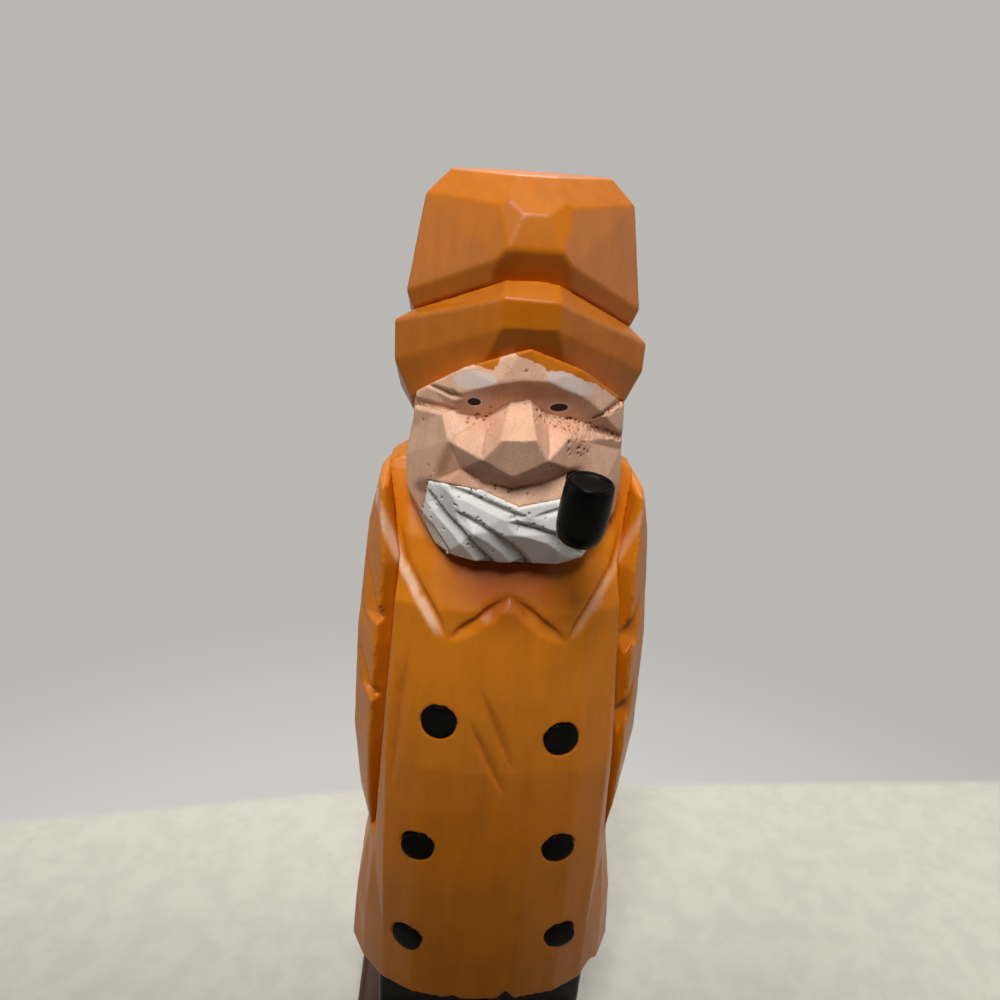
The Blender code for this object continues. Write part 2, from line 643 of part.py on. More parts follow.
FACE_PLANES = """
top_l top_lc brow_l1 brow_l0
top_lc top_c brow_c brow_l2 brow_l1
top_c top_rc brow_r1 brow_r2 brow_c
top_rc top_r brow_r0 brow_r1b brow_r1
brow_l0 brow_l1 sock_l1 sock_l0
brow_l1 brow_l2 sock_l2 sock_l1
brow_l2 brow_c root_l sock_l2
brow_c root_r root_l
brow_c brow_r2 sock_r2 root_r
brow_r2 brow_r1 sock_r1 sock_r2
brow_r1 brow_r1b sock_r1
brow_r1b brow_r0 sock_r0 sock_r1
root_l root_r tip_r tip_l
root_l tip_l wing_l fold_l
root_r fold_r wing_r tip_r
tip_l tip_r wing_r lip_r lip_c lip_l wing_l
sock_l2 root_l fold_l
sock_l1 sock_l2 fold_l cheek_lm cheek_lt
fold_l wing_l mouth_l cheek_lm
sock_l0 sock_l1 cheek_lt side_l1
side_l1 cheek_lt cheek_lm side_l2
side_l2 cheek_lm jaw_l side_l3
cheek_lm mouth_l jaw_l
wing_l lip_l mouth_l
mouth_l lip_l lip_c mouth_b2 mouth_b1
wing_r cheek_rl mouth_r lip_r
lip_c lip_r mouth_r mouth_b3 mouth_b2
root_r sock_r2 fold_r
sock_r2 sock_r1 cheek_rm fold_r
fold_r cheek_rm cheek_rl wing_r
cheek_rm cheek_r2 cheek_r3 cheek_rl
sock_r1 cheek_r2 cheek_rm
sock_r1 sock_r0 side_r1 cheek_r2
cheek_r2 side_r1 side_r2 jaw_r cheek_r3
cheek_rl cheek_r3 mouth_r
cheek_r3 jaw_r mouth_r
side_r2 side_r3 jaw_r
mouth_l mouth_b1 beard_t2 beard_t1 jaw_l
mouth_b1 mouth_b2 beard_t3 beard_t2
mouth_b2 mouth_b3 beard_t4 beard_t3
mouth_b3 mouth_r jaw_r beard_t5 beard_t4
side_l3 jaw_l beard_l1 low_l
low_l beard_l1 beard_b0
jaw_l beard_t1 beard_m1 beard_l1
beard_t1 beard_t2 beard_m1
beard_t2 beard_t3 beard_m1
beard_t3 beard_m2 beard_m1
beard_t3 beard_t4 beard_m2
beard_t4 beard_t5 beard_m2
beard_t5 jaw_r beard_r1 beard_m2
beard_l1 beard_m1 beard_b1 beard_b0
beard_m1 beard_m2 beard_b2 beard_b1
beard_m2 beard_r1 beard_b3 beard_b2
beard_r1 low_r beard_b3
jaw_r side_r3 low_r beard_r1
"""
LEFT_EDGE = "top_l brow_l0 sock_l0 side_l1 side_l2 side_l3 low_l"
RIGHT_EDGE = "top_r brow_r0 sock_r0 side_r1 side_r2 side_r3 low_r"


def carved_head():
    """The whole head with its beard, before the two are parted and the hat's seat is cut."""
    bm = bmesh.new()
    half = HEAD_WIDTH / 2
    corner = {}
    for name, (across, ahead, up) in face_points().items():
        corner[name] = bm.verts.new((across * half, -ahead * HEAD_FRONT, CHIN_LEVEL + up * HEAD_HEIGHT))
    for line in FACE_PLANES.split("\n"):
        if line:
            bm.faces.new([corner[name] for name in line.split()])
    columns = [[corner[name] for name in LEFT_EDGE.split()]]
    for edge, across, behind in ((LEFT_EDGE, -1.0, 0.42), (LEFT_EDGE, -0.55, 1.0),
                                 (RIGHT_EDGE, 0.55, 1.0), (RIGHT_EDGE, 1.0, 0.42)):
        column = []
        for name in edge.split():
            at = corner[name].co
            x = at.x if abs(across) == 1.0 else across * half
            column.append(bm.verts.new((x, behind * HEAD_BACK, at.z)))
        columns.append(column)
    columns.append([corner[name] for name in RIGHT_EDGE.split()])
    for near, far in zip(columns, columns[1:]):
        for i in range(len(near) - 1):
            bm.faces.new((near[i], near[i + 1], far[i + 1], far[i]))
    ring_top = [column[0] for column in columns]
    bm.faces.new(ring_top + [corner[name] for name in ("top_rc", "top_c", "top_lc")])
    ring_low = [column[-1] for column in columns]
    bm.faces.new(ring_low + [corner[name] for name in ("beard_b3", "beard_b2", "beard_b1", "beard_b0")])
    return bm


def beard_room(grow):
    """The block of space in front of the jaw that the beard fills, grown by a gap all round."""
    half = HEAD_WIDTH / 2
    names = ("jaw_l", "beard_t1", "beard_t2", "beard_t3", "beard_t4", "beard_t5", "jaw_r")
    points = face_points()
    top = [(points[name][0] * half, CHIN_LEVEL + points[name][2] * HEAD_HEIGHT + grow) for name in names]
    top[0] = (top[0][0] - 0.0012 - grow, top[0][1] - 0.0015)
    top[-1] = (top[-1][0] + 0.0012 + grow, top[-1][1] - 0.0015)
    wide = half * 0.86 + grow
    high = CHIN_LEVEL + 0.004
    low = CHIN_LEVEL - 0.01
    outline = top + [(wide, high), (wide, low), (-wide, low), (-wide, high)]
    return place("beard_room", prism(outline, -0.06, -BEARD_SEAT + grow, 1))


def make_head_and_beard(skin, white):
    """Head and beard as two pieces that meet on a flat seat behind the beard."""
    head_bm = carved_head()
    for side in (-1, 1):
        slice_off(head_bm, (0, -HEAD_FRONT, SEAT_LEVEL), roof_normal(side))
    head = place("head", head_bm, skin)
    slope = COAT_HEIGHT * (1.0 - THROAT_SHARE) / (THROAT_FRONT - NECK_FRONT)
    throat = HEM_LEVEL + COAT_HEIGHT * THROAT_SHARE + CHIN_CLEARANCE
    rear = COLLAR_LEVEL + JOINT_GAP
    reach = 0.012
    outline = [
        (-THROAT_FRONT - reach, throat - slope * reach),
        (-THROAT_FRONT + (rear - throat) / slope, rear),
        (0.04, rear),
        (0.04, CHIN_LEVEL - 0.02),
        (-THROAT_FRONT - reach, CHIN_LEVEL - 0.02),
    ]
    carve(head, place("throat", prism(outline, -0.04, 0.04, 0)))
    beard = head.copy()
    beard.data = head.data.copy()
    beard.name = "beard"
    beard.data.materials.clear()
    beard.data.materials.append(white)
    bpy.context.scene.collection.objects.link(beard)
    merge(beard, beard_room(0.0), "INTERSECT")
    carve(head, beard_room(JOINT_GAP))
    return head


def pipe_frame():
    """Where the stem leaves the mouth, the stem's direction, and the bowl's direction."""
    mouth = Vector((PIPE_SIDE, -HEAD_FRONT * PIPE_MOUTH_SHARE, CHIN_LEVEL + PIPE_MOUTH_HEIGHT))
    stem = Vector((0, -1, -PIPE_STEM_DROOP)).normalized()
    bowl = Vector((PIPE_LEAN, 0, 1)).normalized()
    return mouth, stem, bowl


def turned(profile, base, along, sides=ROUND_SIDES):
    """A round solid turned from (radius, height) pairs about a line, closed at both ends."""
    turn = along.to_track_quat("Z", "Y").to_matrix()
    rings = []
    for radius, height in profile:
        ring = []
        for i in range(sides):
            angle = 2 * math.pi * i / sides
            ring.append(base + turn @ Vector((radius * math.cos(angle), radius * math.sin(angle), height)))
        rings.append(ring)
    return stack(rings)


def make_pipe(black):
    """Bowl and stem of the pipe, with the stem let into the bowl's side. Both turn about the stem."""
    mouth, stem_way, bowl_way = pipe_frame()
    tip = mouth + stem_way * PIPE_STEM_REACH
    radius = PIPE_BOWL_DIAMETER / 2
    base = tip - bowl_way * PIPE_BOWL_HEIGHT * 0.36
    height = PIPE_BOWL_HEIGHT
    rim = radius * 0.97
    profile = [(radius * 0.55, 0.0), (radius * 0.86, height * 0.07), (radius, height * 0.30),
               (radius, height * 0.62), (rim, height * 0.97), (rim - 0.0003, height),
               (rim - PIPE_BOWL_WALL, height),
               (rim - PIPE_BOWL_WALL - 0.0002, height - PIPE_BOWL_DISH)]
    bowl = place("pipe_bowl", turned(profile, base, bowl_way), black)
    stem_radius = PIPE_STEM_DIAMETER / 2
    inner = mouth - stem_way * PIPE_STEM_HOLE
    drill(bowl, tip - stem_way * radius * 2, tip + stem_way * JOINT_GAP, stem_radius + STEM_CLEARANCE)
    stem = place("pipe_stem", rod(inner + stem_way * JOINT_GAP, tip, stem_radius), black)
    for thing in (bowl, stem):
        set_origin(thing, mouth)
        shade_round(thing)


def make_boot(name, side, black):
    """A heavy rubber boot with a square toe, corners planed off and a straight shaft."""
    sole = BOOT_SOLE
    toe_front = -BOOT_SHAFT_FRONT - BOOT_TOE
    top = HEM_LEVEL - JOINT_GAP
    ankle = sole + BOOT_TOE_HEIGHT
    outline = [
        (toe_front + 0.0015, sole), (toe_front, sole + 0.004), (toe_front + 0.003, ankle - 0.001),
        (toe_front + 0.008, ankle + 0.0025), (-BOOT_SHAFT_FRONT - 0.0008, ankle + 0.007),
        (-BOOT_SHAFT_FRONT, ankle + 0.012), (-BOOT_SHAFT_FRONT, top),
        (BOOT_BACK, top), (BOOT_BACK - 0.002, ankle + 0.004), (BOOT_BACK + BOOT_HEEL_SWELL, sole + 0.005),
        (BOOT_BACK + 0.0005, sole),
    ]
    near = BOOT_SPLIT / 2
    far = near + BOOT_WIDTH
    bm = prism(outline, side * near, side * far, 0)
    slice_off(bm, (side * (far - BOOT_OUTER_CUT), toe_front, 0), (side, -1.0, 0))
    slice_off(bm, (side * (near + BOOT_INNER_CUT), toe_front, 0), (-side, -1.1, 0))
    slice_off(bm, (side * (far - BOOT_INNER_CUT), BOOT_BACK + BOOT_HEEL_SWELL, 0), (side, 1.0, 0))
    return place(name, bm, black)


def make_base(material):
    """The plank that the boots stand on, with its top edges planed off."""
    half = BASE_WIDTH / 2
    low = (BASE_SHIFT - half, -BASE_FRONT, 0.0)
    high = (BASE_SHIFT + half, BASE_DEPTH - BASE_FRONT, BASE_HEIGHT)
    bm = block(low, high)
    for x, y in ((-1, 0), (1, 0), (0, -1), (0, 1)):
        at = (high[0] if x > 0 else low[0], high[1] if y > 0 else low[1], high[2] - BASE_BEVEL)
        slice_off(bm, at, (x, y, 0.8))
    return place("base", bm, material)


def make_buttons(coat, black):
    """Six round plugs let into the coat's front, square to the facet they sit on."""
    radius = BUTTON_DIAMETER / 2
    profile = [(radius, 0.0), (radius, BUTTON_LENGTH * 0.88), (radius * 0.90, BUTTON_LENGTH)]
    for name, (across, up) in BUTTON_PLACES.items():
        point, normal = surface_at(coat, coat_place(across, up), (0, 1, 0))
        back = point - normal * (BUTTON_LENGTH - BUTTON_PROUD)
        drill(coat, back - normal * JOINT_GAP, point + normal * BUTTON_LENGTH, radius + PEG_CLEARANCE)
        shade_round(place(name, turned(profile, back, normal), black))


def add_peg(name, low, high, diameter, pieces, material):
    """A hidden round peg, and the hole for it in each piece that it holds."""
    radius = diameter / 2
    deeper = Vector((0, 0, JOINT_GAP))
    for piece in pieces:
        drill(piece, Vector(low) - deeper, Vector(high) + deeper, radius + PEG_CLEARANCE)
    shade_round(place(name, rod(low, high, radius), material))


def main():
    clear_scene()
    oilskin = paint("oilskin_orange", (0.72, 0.27, 0.05), 0.45)
    skin = paint("skin", (0.75, 0.45, 0.33), 0.6)
    white = paint("beard_white", (0.82, 0.80, 0.78), 0.6)
    black = paint("gloss_black", (0.01, 0.01, 0.01), 0.25)
    brown = paint("base_brown", (0.10, 0.03, 0.02), 0.5)
    bare = paint("bare_wood", (0.62, 0.45, 0.27), 0.8)
    coat = make_coat(oilskin)
    right_creases = [
        ((0.84, 0.770), (0.23, 0.658), (0.89, 0.704), (0.35, 0.655)),
        ((0.88, 0.651), (0.64, 0.629), (0.92, 0.620), (0.72, 0.618)),
        ((0.83, 0.546), (0.17, 0.444), (0.86, 0.500), (0.29, 0.442)),
    ]
    left_creases = [
        ((0.64, 0.718), (0.08, 0.630), (0.70, 0.657), (0.19, 0.597)),
        ((0.63, 0.492), (0.07, 0.411), (0.67, 0.441), (0.17, 0.366)),
    ]
    make_sleeve("sleeve_right", -1, right_creases, oilskin)
    make_sleeve("sleeve_left", 1, left_creases, oilskin)
    head = make_head_and_beard(skin, white)
    crown = make_crown(oilskin)
    brim = make_brim(oilskin)
    make_pipe(black)
    mouth, stem_way, _ = pipe_frame()
    drill(head, mouth - stem_way * PIPE_STEM_HOLE, mouth + stem_way * PIPE_STEM_HOLE,
          PIPE_STEM_DIAMETER / 2 + STEM_CLEARANCE)
    base = make_base(brown)
    make_buttons(coat, black)
    add_peg("neck_peg", (0, NECK_PEG_SETBACK, COLLAR_LEVEL - NECK_PEG_IN_COAT),
            (0, NECK_PEG_SETBACK, COLLAR_LEVEL + NECK_PEG_IN_HEAD), NECK_PEG_DIAMETER, (coat, head), bare)
    hat_low = seat_height(0, HAT_PEG_SETBACK) - HAT_PEG_IN_HEAD
    add_peg("hat_peg", (0, HAT_PEG_SETBACK, hat_low), (0, HAT_PEG_SETBACK, hat_low + HAT_PEG_LENGTH),
            HAT_PEG_DIAMETER, (head, brim, crown), bare)
    for hand, side in (("right", -1), ("left", 1)):
        boot = make_boot("boot_" + hand, side, black)
        x = side * (BOOT_SPLIT / 2 + BOOT_WIDTH / 2)
        low = (x, 0, BASE_HEIGHT - LEG_PEG_IN_BASE)
        high = (x, 0, HEM_LEVEL + LEG_PEG_IN_COAT)
        add_peg("leg_peg_" + hand, low, high, LEG_PEG_DIAMETER, (base, boot, coat), bare)


main()
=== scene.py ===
"""Knife-carved, painted wooden fisherman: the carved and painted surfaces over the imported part.

Each carved piece starts as a copy of its solid. The copy is rebuilt as a fine skin, its knife edges are
rubbed down a little, small cuts and torn-out pits are pressed into it, and it gets its paint. Buttons and
pipe are turned anew on the axes of their solids.
"""
import math

import bmesh
import bpy
import numpy as np
from bpy.props import FloatProperty, FloatVectorProperty, IntProperty, PointerProperty
from bpy.types import NodeSocket, Operator, Panel, PropertyGroup
from mathutils import Matrix, Vector


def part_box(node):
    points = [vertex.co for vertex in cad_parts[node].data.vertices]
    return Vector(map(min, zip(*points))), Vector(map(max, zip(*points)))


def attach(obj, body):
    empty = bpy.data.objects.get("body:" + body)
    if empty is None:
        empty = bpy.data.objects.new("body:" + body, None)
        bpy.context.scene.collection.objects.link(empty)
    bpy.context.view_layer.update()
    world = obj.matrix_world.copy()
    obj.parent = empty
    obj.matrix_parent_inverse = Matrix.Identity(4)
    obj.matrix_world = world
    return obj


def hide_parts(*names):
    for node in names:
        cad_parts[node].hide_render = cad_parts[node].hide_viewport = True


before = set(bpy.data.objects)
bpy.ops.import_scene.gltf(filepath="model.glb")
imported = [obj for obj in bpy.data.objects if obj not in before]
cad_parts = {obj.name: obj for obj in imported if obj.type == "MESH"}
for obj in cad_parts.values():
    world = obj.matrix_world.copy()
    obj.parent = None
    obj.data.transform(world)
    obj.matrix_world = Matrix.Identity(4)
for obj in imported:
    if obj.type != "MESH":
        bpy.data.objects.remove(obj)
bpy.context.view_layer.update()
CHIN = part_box("beard")[0].z

bl_info = {
    "name": "Carved Wooden Fisherman",
    "version": (1, 0, 0),
    "blender": (4, 5, 0),
    "location": "View3D > Sidebar > Fisherman",
    "description": "Carves and paints a wooden fisherman in oilskins over its packed solids",
    "category": "Object",
}

# Bodies that the pieces ride on
FIGURE = "figure"
PIPE = "pipe"

# Sizes in metres: coats of paint, how near points are merged, and how long a painted highlight line takes
# to fade
PAINT_THICKNESS = 0.00016
BEARD_PAINT_THICKNESS = 0.00028
MERGE_DISTANCE = 1e-6
HIGHLIGHT_FADE = 0.004

# How far a point stands off its neighbours on a full ridge or hollow, as a share of the cell size
FULL_RELIEF = 0.035

# Torn-out pits per square metre, where they lie thickest
FACE_PITS = 2200000
BEARD_PITS = 900000
BOOT_PITS = 3000
BASE_PITS = 2000

# Which of a solid's directions is its axis, from its longest to its shortest
LONGEST = 0
SHORTEST = 2

# Sizes in metres of what shows in the paint: clouds of tone, strokes, wood fibres, flecks, pinholes
CLOUDS = 0.016
BRUSH_STROKES = 0.0035
FIBRES = 0.0011
FLECKS = 0.00035
PINHOLE_CELL = 0.0022

# Fixed colours: the painted highlight on the collar's edges, painted shade in the face's creases, flushed
# skin, and the colours of cuts, pits and painted shade in hollows of boots and base
COLLAR_HIGHLIGHT = (0.95, 0.60, 0.40)
CREASE_SHADE = (0.36, 0.15, 0.08)
FLUSH = (0.62, 0.24, 0.13)
BOOT_DEEP = (0.02, 0.016, 0.013)
STAIN_DEEP = (0.02, 0.006, 0.004)

# Marks on the face, some painted shade (mouth, brows, jaw corner) and some blush: an oval's place and size
# as daub takes them, strength, colour, softness
FACE_MARKS_AND_SHADE = (
    # Painted shade under the upper lip, left and right
    ((-6.0, 20.7, 5.8, 1.7, -10.0), 0.3, CREASE_SHADE, 0.35),
    ((3.9, 20.9, 6.4, 1.7, 17.0), 0.3, CREASE_SHADE, 0.35),
    # Painted shade under the brows
    ((-1.5, 37.2, 9.0, 2.0, -3.0), 0.5, CREASE_SHADE, 0.5),
    ((10.2, 23.0, 2.6, 5.0, 10.0), 0.3, (0.46, 0.20, 0.12), 0.6),
    ((-7.5, 30.6, 4.5, 1.8, 0.0), 0.3, FLUSH, 0.6),
    ((7.0, 30.6, 5.5, 1.8, -14.0), 0.3, FLUSH, 0.6),
    ((-12.4, 20.0, 2.6, 4.6, -20.0), 0.3, (0.52, 0.20, 0.11), 0.6),
    ((10.6, 26.6, 2.8, 1.5, -20.0), 0.4, (0.30, 0.14, 0.09), 0.5),
    ((-15.0, 22.4, 4.8, 1.1, 72.0), 0.6, (0.42, 0.16, 0.09), 0.5),
    # Painted shade at the jaw's corner beside the beard
    ((-18.2, 14.9, 3.4, 1.6, 40.0), 0.7, (0.20, 0.12, 0.08), 0.4),
)
BROWS = ((-9.9, 38.9, 3.9, 1.5, 9.0), (7.9, 39.0, 4.9, 1.6, -24.0))
EYES = ((-9.75, 34.4, 1.25, 0.86, 0.0), (6.4, 33.7, 1.70, 0.95, 4.0))
EYE_RING = 0.42


def a_colour(label, says, default):
    """A colour that the user can change."""
    return FloatVectorProperty(name=label, description=says, subtype="COLOR", size=3, default=default)


def a_length(label, says, default, least=0.0):
    """A length in metres that the user can change."""
    return FloatProperty(name=label, description=says, unit="LENGTH", default=default, min=least,
                         precision=5)


def an_angle(label, says, degrees):
    """An angle that the user can change."""
    return FloatProperty(name=label, description=says, subtype="ANGLE", default=math.radians(degrees))


def a_strength(label, says, default):
    """The strength of a light that the user can change."""
    return FloatProperty(name=label, description=says, default=default, min=0.0)


def a_count(label, says, default, least):
    """A whole number that the user can change."""
    return IntProperty(name=label, description=says, default=default, min=least)


class FISHERMAN_PG_paint(PropertyGroup):
    """Colours of the paints, in linear light."""
    oilskin: a_colour("Oilskin", "Orange paint of coat and sleeves", (0.70, 0.206, 0.004))
    # Painted shade: the hat's orange is a darker copy of the coat's orange, toning the hat down.
    hat: a_colour("Hat", "Orange paint of the hat, laid on a little thinner", (0.60, 0.168, 0.004))
    # Painted shade: oilskin_deep also darkens hollows and the coat under the beard.
    oilskin_deep: a_colour("Oilskin, deep", "Orange paint where it pools in a cut", (0.26, 0.040, 0.001))
    skin: a_colour("Skin", "Flesh-coloured paint of the face", (0.90, 0.54, 0.365))
    # Painted shade: skin_deep also darkens the face's hollows and creases.
    skin_deep: a_colour("Skin, deep", "Flesh-coloured paint in creases and pits", (0.33, 0.13, 0.07))
    beard: a_colour("Beard", "White paint of the beard", (0.96, 0.94, 0.90))
    # Painted shade: beard_deep also darkens the beard's cuts.
    beard_deep: a_colour("Beard, deep", "White paint in the beard's cuts", (0.40, 0.35, 0.30))
    brow: a_colour("Eyebrows", "Pale smears of the eyebrows and eye rings", (0.80, 0.66, 0.62))
    black: a_colour("Black", "Gloss black of boots, buttons, eyes and pipe", (0.003, 0.003, 0.003))
    stain: a_colour("Base stain", "Dark red-brown of the base", (0.085, 0.026, 0.014))
    bare: a_colour("Bare wood", "Unpainted wood of the dowels", (0.58, 0.42, 0.25))


class FISHERMAN_PG_carving(PropertyGroup):
    """How fine the skins are, and how rough the knife left them."""
    face_grain: a_length("Face grain", "Size of the cells that head and beard are rebuilt in",
                         0.00026, 0.0002)
    hat_grain: a_length("Hat grain", "Size of the cells that the hat is rebuilt in", 0.00038, 0.0002)
    coat_grain: a_length("Coat grain", "Size of the cells that the coat is rebuilt in", 0.00048, 0.0003)
    boot_grain: a_length("Boot grain", "Size of the cells that sleeves, boots and base are rebuilt in",
                         0.00045, 0.0003)
    face_limit: a_count("Triangles", "Most triangles that one carved piece keeps", 180000, 20000)
    wobble_size: a_length("Wobble size", "Width of the shallow waves that a knife leaves", 0.006, 0.001)
    wobble_depth: a_length("Wobble depth", "Depth of the shallow waves that a knife leaves", 0.00022)
    pit_radius: a_length("Pit radius", "Radius of a pit torn out by the knife", 0.00036, 0.0001)
    pit_depth: a_length("Pit depth", "Depth of a pit torn out by the knife", 0.00048)
    seed: a_count("Seed", "Chooses the scatter of pits and waves", 7, 0)


class FISHERMAN_PG_turned(PropertyGroup):
    """Sizes of the turned pieces, the buttons and the pipe."""
    button_sides: a_count("Button sides", "Sides of a button", 40, 12)
    button_crown: a_length("Button crown", "How far a button's middle rises over its edge", 0.00012)
    button_seed: a_count("Button seed", "Chooses how unevenly the buttons are turned", 3, 0)
    pipe_sides: a_count("Pipe sides", "Sides of the pipe's bowl and stem", 64, 16)


class FISHERMAN_PG_stage(PropertyGroup):
    """Camera, lights and floor."""
    lens: FloatProperty(name="Lens", description="Focal length on a 36 mm sensor", default=27.04, min=10.0)
    pitch: an_angle("Pitch", "How far the camera looks down", 25.0)
    yaw: an_angle("Yaw", "How far the camera looks to its right", 4.0)
    roll: an_angle("Roll", "How far the camera leans", 3.9)
    eye: FloatVectorProperty(name="Eye", description="Where the camera stands", subtype="TRANSLATION",
                             size=3, default=(-0.0131, -0.1551, 0.2550))
    table: a_colour("Table", "Colour of the floor near the figure", (0.83, 0.805, 0.710))
    wall: a_colour("Wall", "Colour of the plain background", (0.485, 0.475, 0.450))
    wall_low: a_colour("Wall, low", "Colour of the background just above the table", (0.60, 0.59, 0.56))
    front: a_strength("Front lamp", "Strength of the main lamp, above and in front", 0.84)
    left: a_strength("Left lamp", "Strength of the lamp at the picture's left", 0.09)
    right: a_strength("Right lamp", "Strength of the lamp at the picture's right", 0.12)
    rear: a_strength("Rear lamp", "Strength of the lamp above and behind", 0.47)
    ambient: a_strength("Ambient", "Strength of the even light from all round", 0.03)
    card_left: a_length("Card left", "How far the dark card reaches to the lens's left", 0.26)
    card_right: a_length("Card right", "How far the dark card reaches to the lens's right", 0.09)
    card_drop: a_length("Card drop", "How far the dark card reaches below the lens", 0.16)
    card_rise: a_length("Card rise", "How far the dark card reaches above the lens", 0.057)


def settings():
    """The paints and the carving sizes of this scene."""
    scene = bpy.context.scene
    return scene.fisherman_paint, scene.fisherman_carving


def set_inputs(tree, node, inputs):
    """Sets a node's sockets to values, or links them to what other nodes give."""
    for name, value in inputs.items():
        if isinstance(value, NodeSocket):
            tree.links.new(value, node.inputs[name])
        else:
            node.inputs[name].default_value = value


def add_node(tree, kind, inputs=None, **choices):
    """A new node with its choices made and its sockets set or linked."""
    node = tree.nodes.new(kind)
    for name, value in choices.items():
        setattr(node, name, value)
    set_inputs(tree, node, inputs or {})
    return node


def maths(tree, operation, first, second, clamp=False):
    """One step of arithmetic on numbers."""
    inputs = {0: first, 1: second}
    return add_node(tree, "ShaderNodeMath", inputs, operation=operation, use_clamp=clamp).outputs[0]


def times(tree, first, second, clamp=False):
    """One number times another."""
    return maths(tree, "MULTIPLY", first, second, clamp)


def plus(tree, first, second, clamp=False):
    """The sum of two numbers."""
    return maths(tree, "ADD", first, second, clamp)


def minus(tree, first, second):
    """One number less another."""
    return maths(tree, "SUBTRACT", first, second)


def vectors(tree, operation, first, second):
    """One step of arithmetic on vectors."""
    return add_node(tree, "ShaderNodeVectorMath", {0: first, 1: second}, operation=operation).outputs[0]


def apart(tree, vector):
    """The three numbers of a vector."""
    return add_node(tree, "ShaderNodeSeparateXYZ", {0: vector}).outputs


def far_out(tree, vector):
    """The length of a vector."""
    return add_node(tree, "ShaderNodeVectorMath", {0: vector}, operation="LENGTH").outputs["Value"]


def noise(tree, place, size, detail, stretch=(1.0, 1.0, 1.0)):
    """Smooth noise from 0 to 1 whose lumps are about the given size in metres."""
    scaled = vectors(tree, "MULTIPLY", place, stretch)
    inputs = {"Vector": scaled, "Scale": 1.0 / size, "Detail": detail, "Roughness": 0.55}
    return add_node(tree, "ShaderNodeTexNoise", inputs).outputs[0]


def ramp(tree, value, low, high):
    """Reads 0 at low and 1 at high, smooth between them and held beyond them."""
    inputs = {"Value": value, "From Min": low, "From Max": high, "To Min": 0.0, "To Max": 1.0}
    return add_node(tree, "ShaderNodeMapRange", inputs, interpolation_type="SMOOTHSTEP").outputs[0]


def blend_colour(tree, share, first, second):
    """Mixes two colours by a share."""
    inputs = {0: share}
    for number, colour in ((6, first), (7, second)):
        inputs[number] = colour if isinstance(colour, NodeSocket) else (*colour, 1.0)
    return add_node(tree, "ShaderNodeMix", inputs, data_type="RGBA").outputs[2]


def attribute(tree, name):
    """A number that the mesh carries at its points."""
    return add_node(tree, "ShaderNodeAttribute", attribute_name=name).outputs["Fac"]


def object_place(tree):
    """Where a point lies on its own object."""
    return add_node(tree, "ShaderNodeTexCoord").outputs["Object"]


def bumps(tree, height, depth):
    """The surface's direction where a height from 0 to 1 raises it by up to a depth in metres."""
    inputs = {"Height": height, "Strength": 1.0, "Distance": depth}
    return add_node(tree, "ShaderNodeBump", inputs).outputs[0]


def seen_directly(tree):
    """1 for a ray from the camera, straight or by way of gloss or glass, and 0 for the others."""
    rays = add_node(tree, "ShaderNodeLightPath").outputs
    seen = maths(tree, "MAXIMUM", rays["Is Camera Ray"], rays["Is Glossy Ray"])
    return maths(tree, "MAXIMUM", seen, rays["Is Transmission Ray"])


def new_material(name):
    """An empty material, its tree and its shader."""
    material = bpy.data.materials.new(name)
    material.use_nodes = True
    return material, material.node_tree, material.node_tree.nodes["Principled BSDF"]


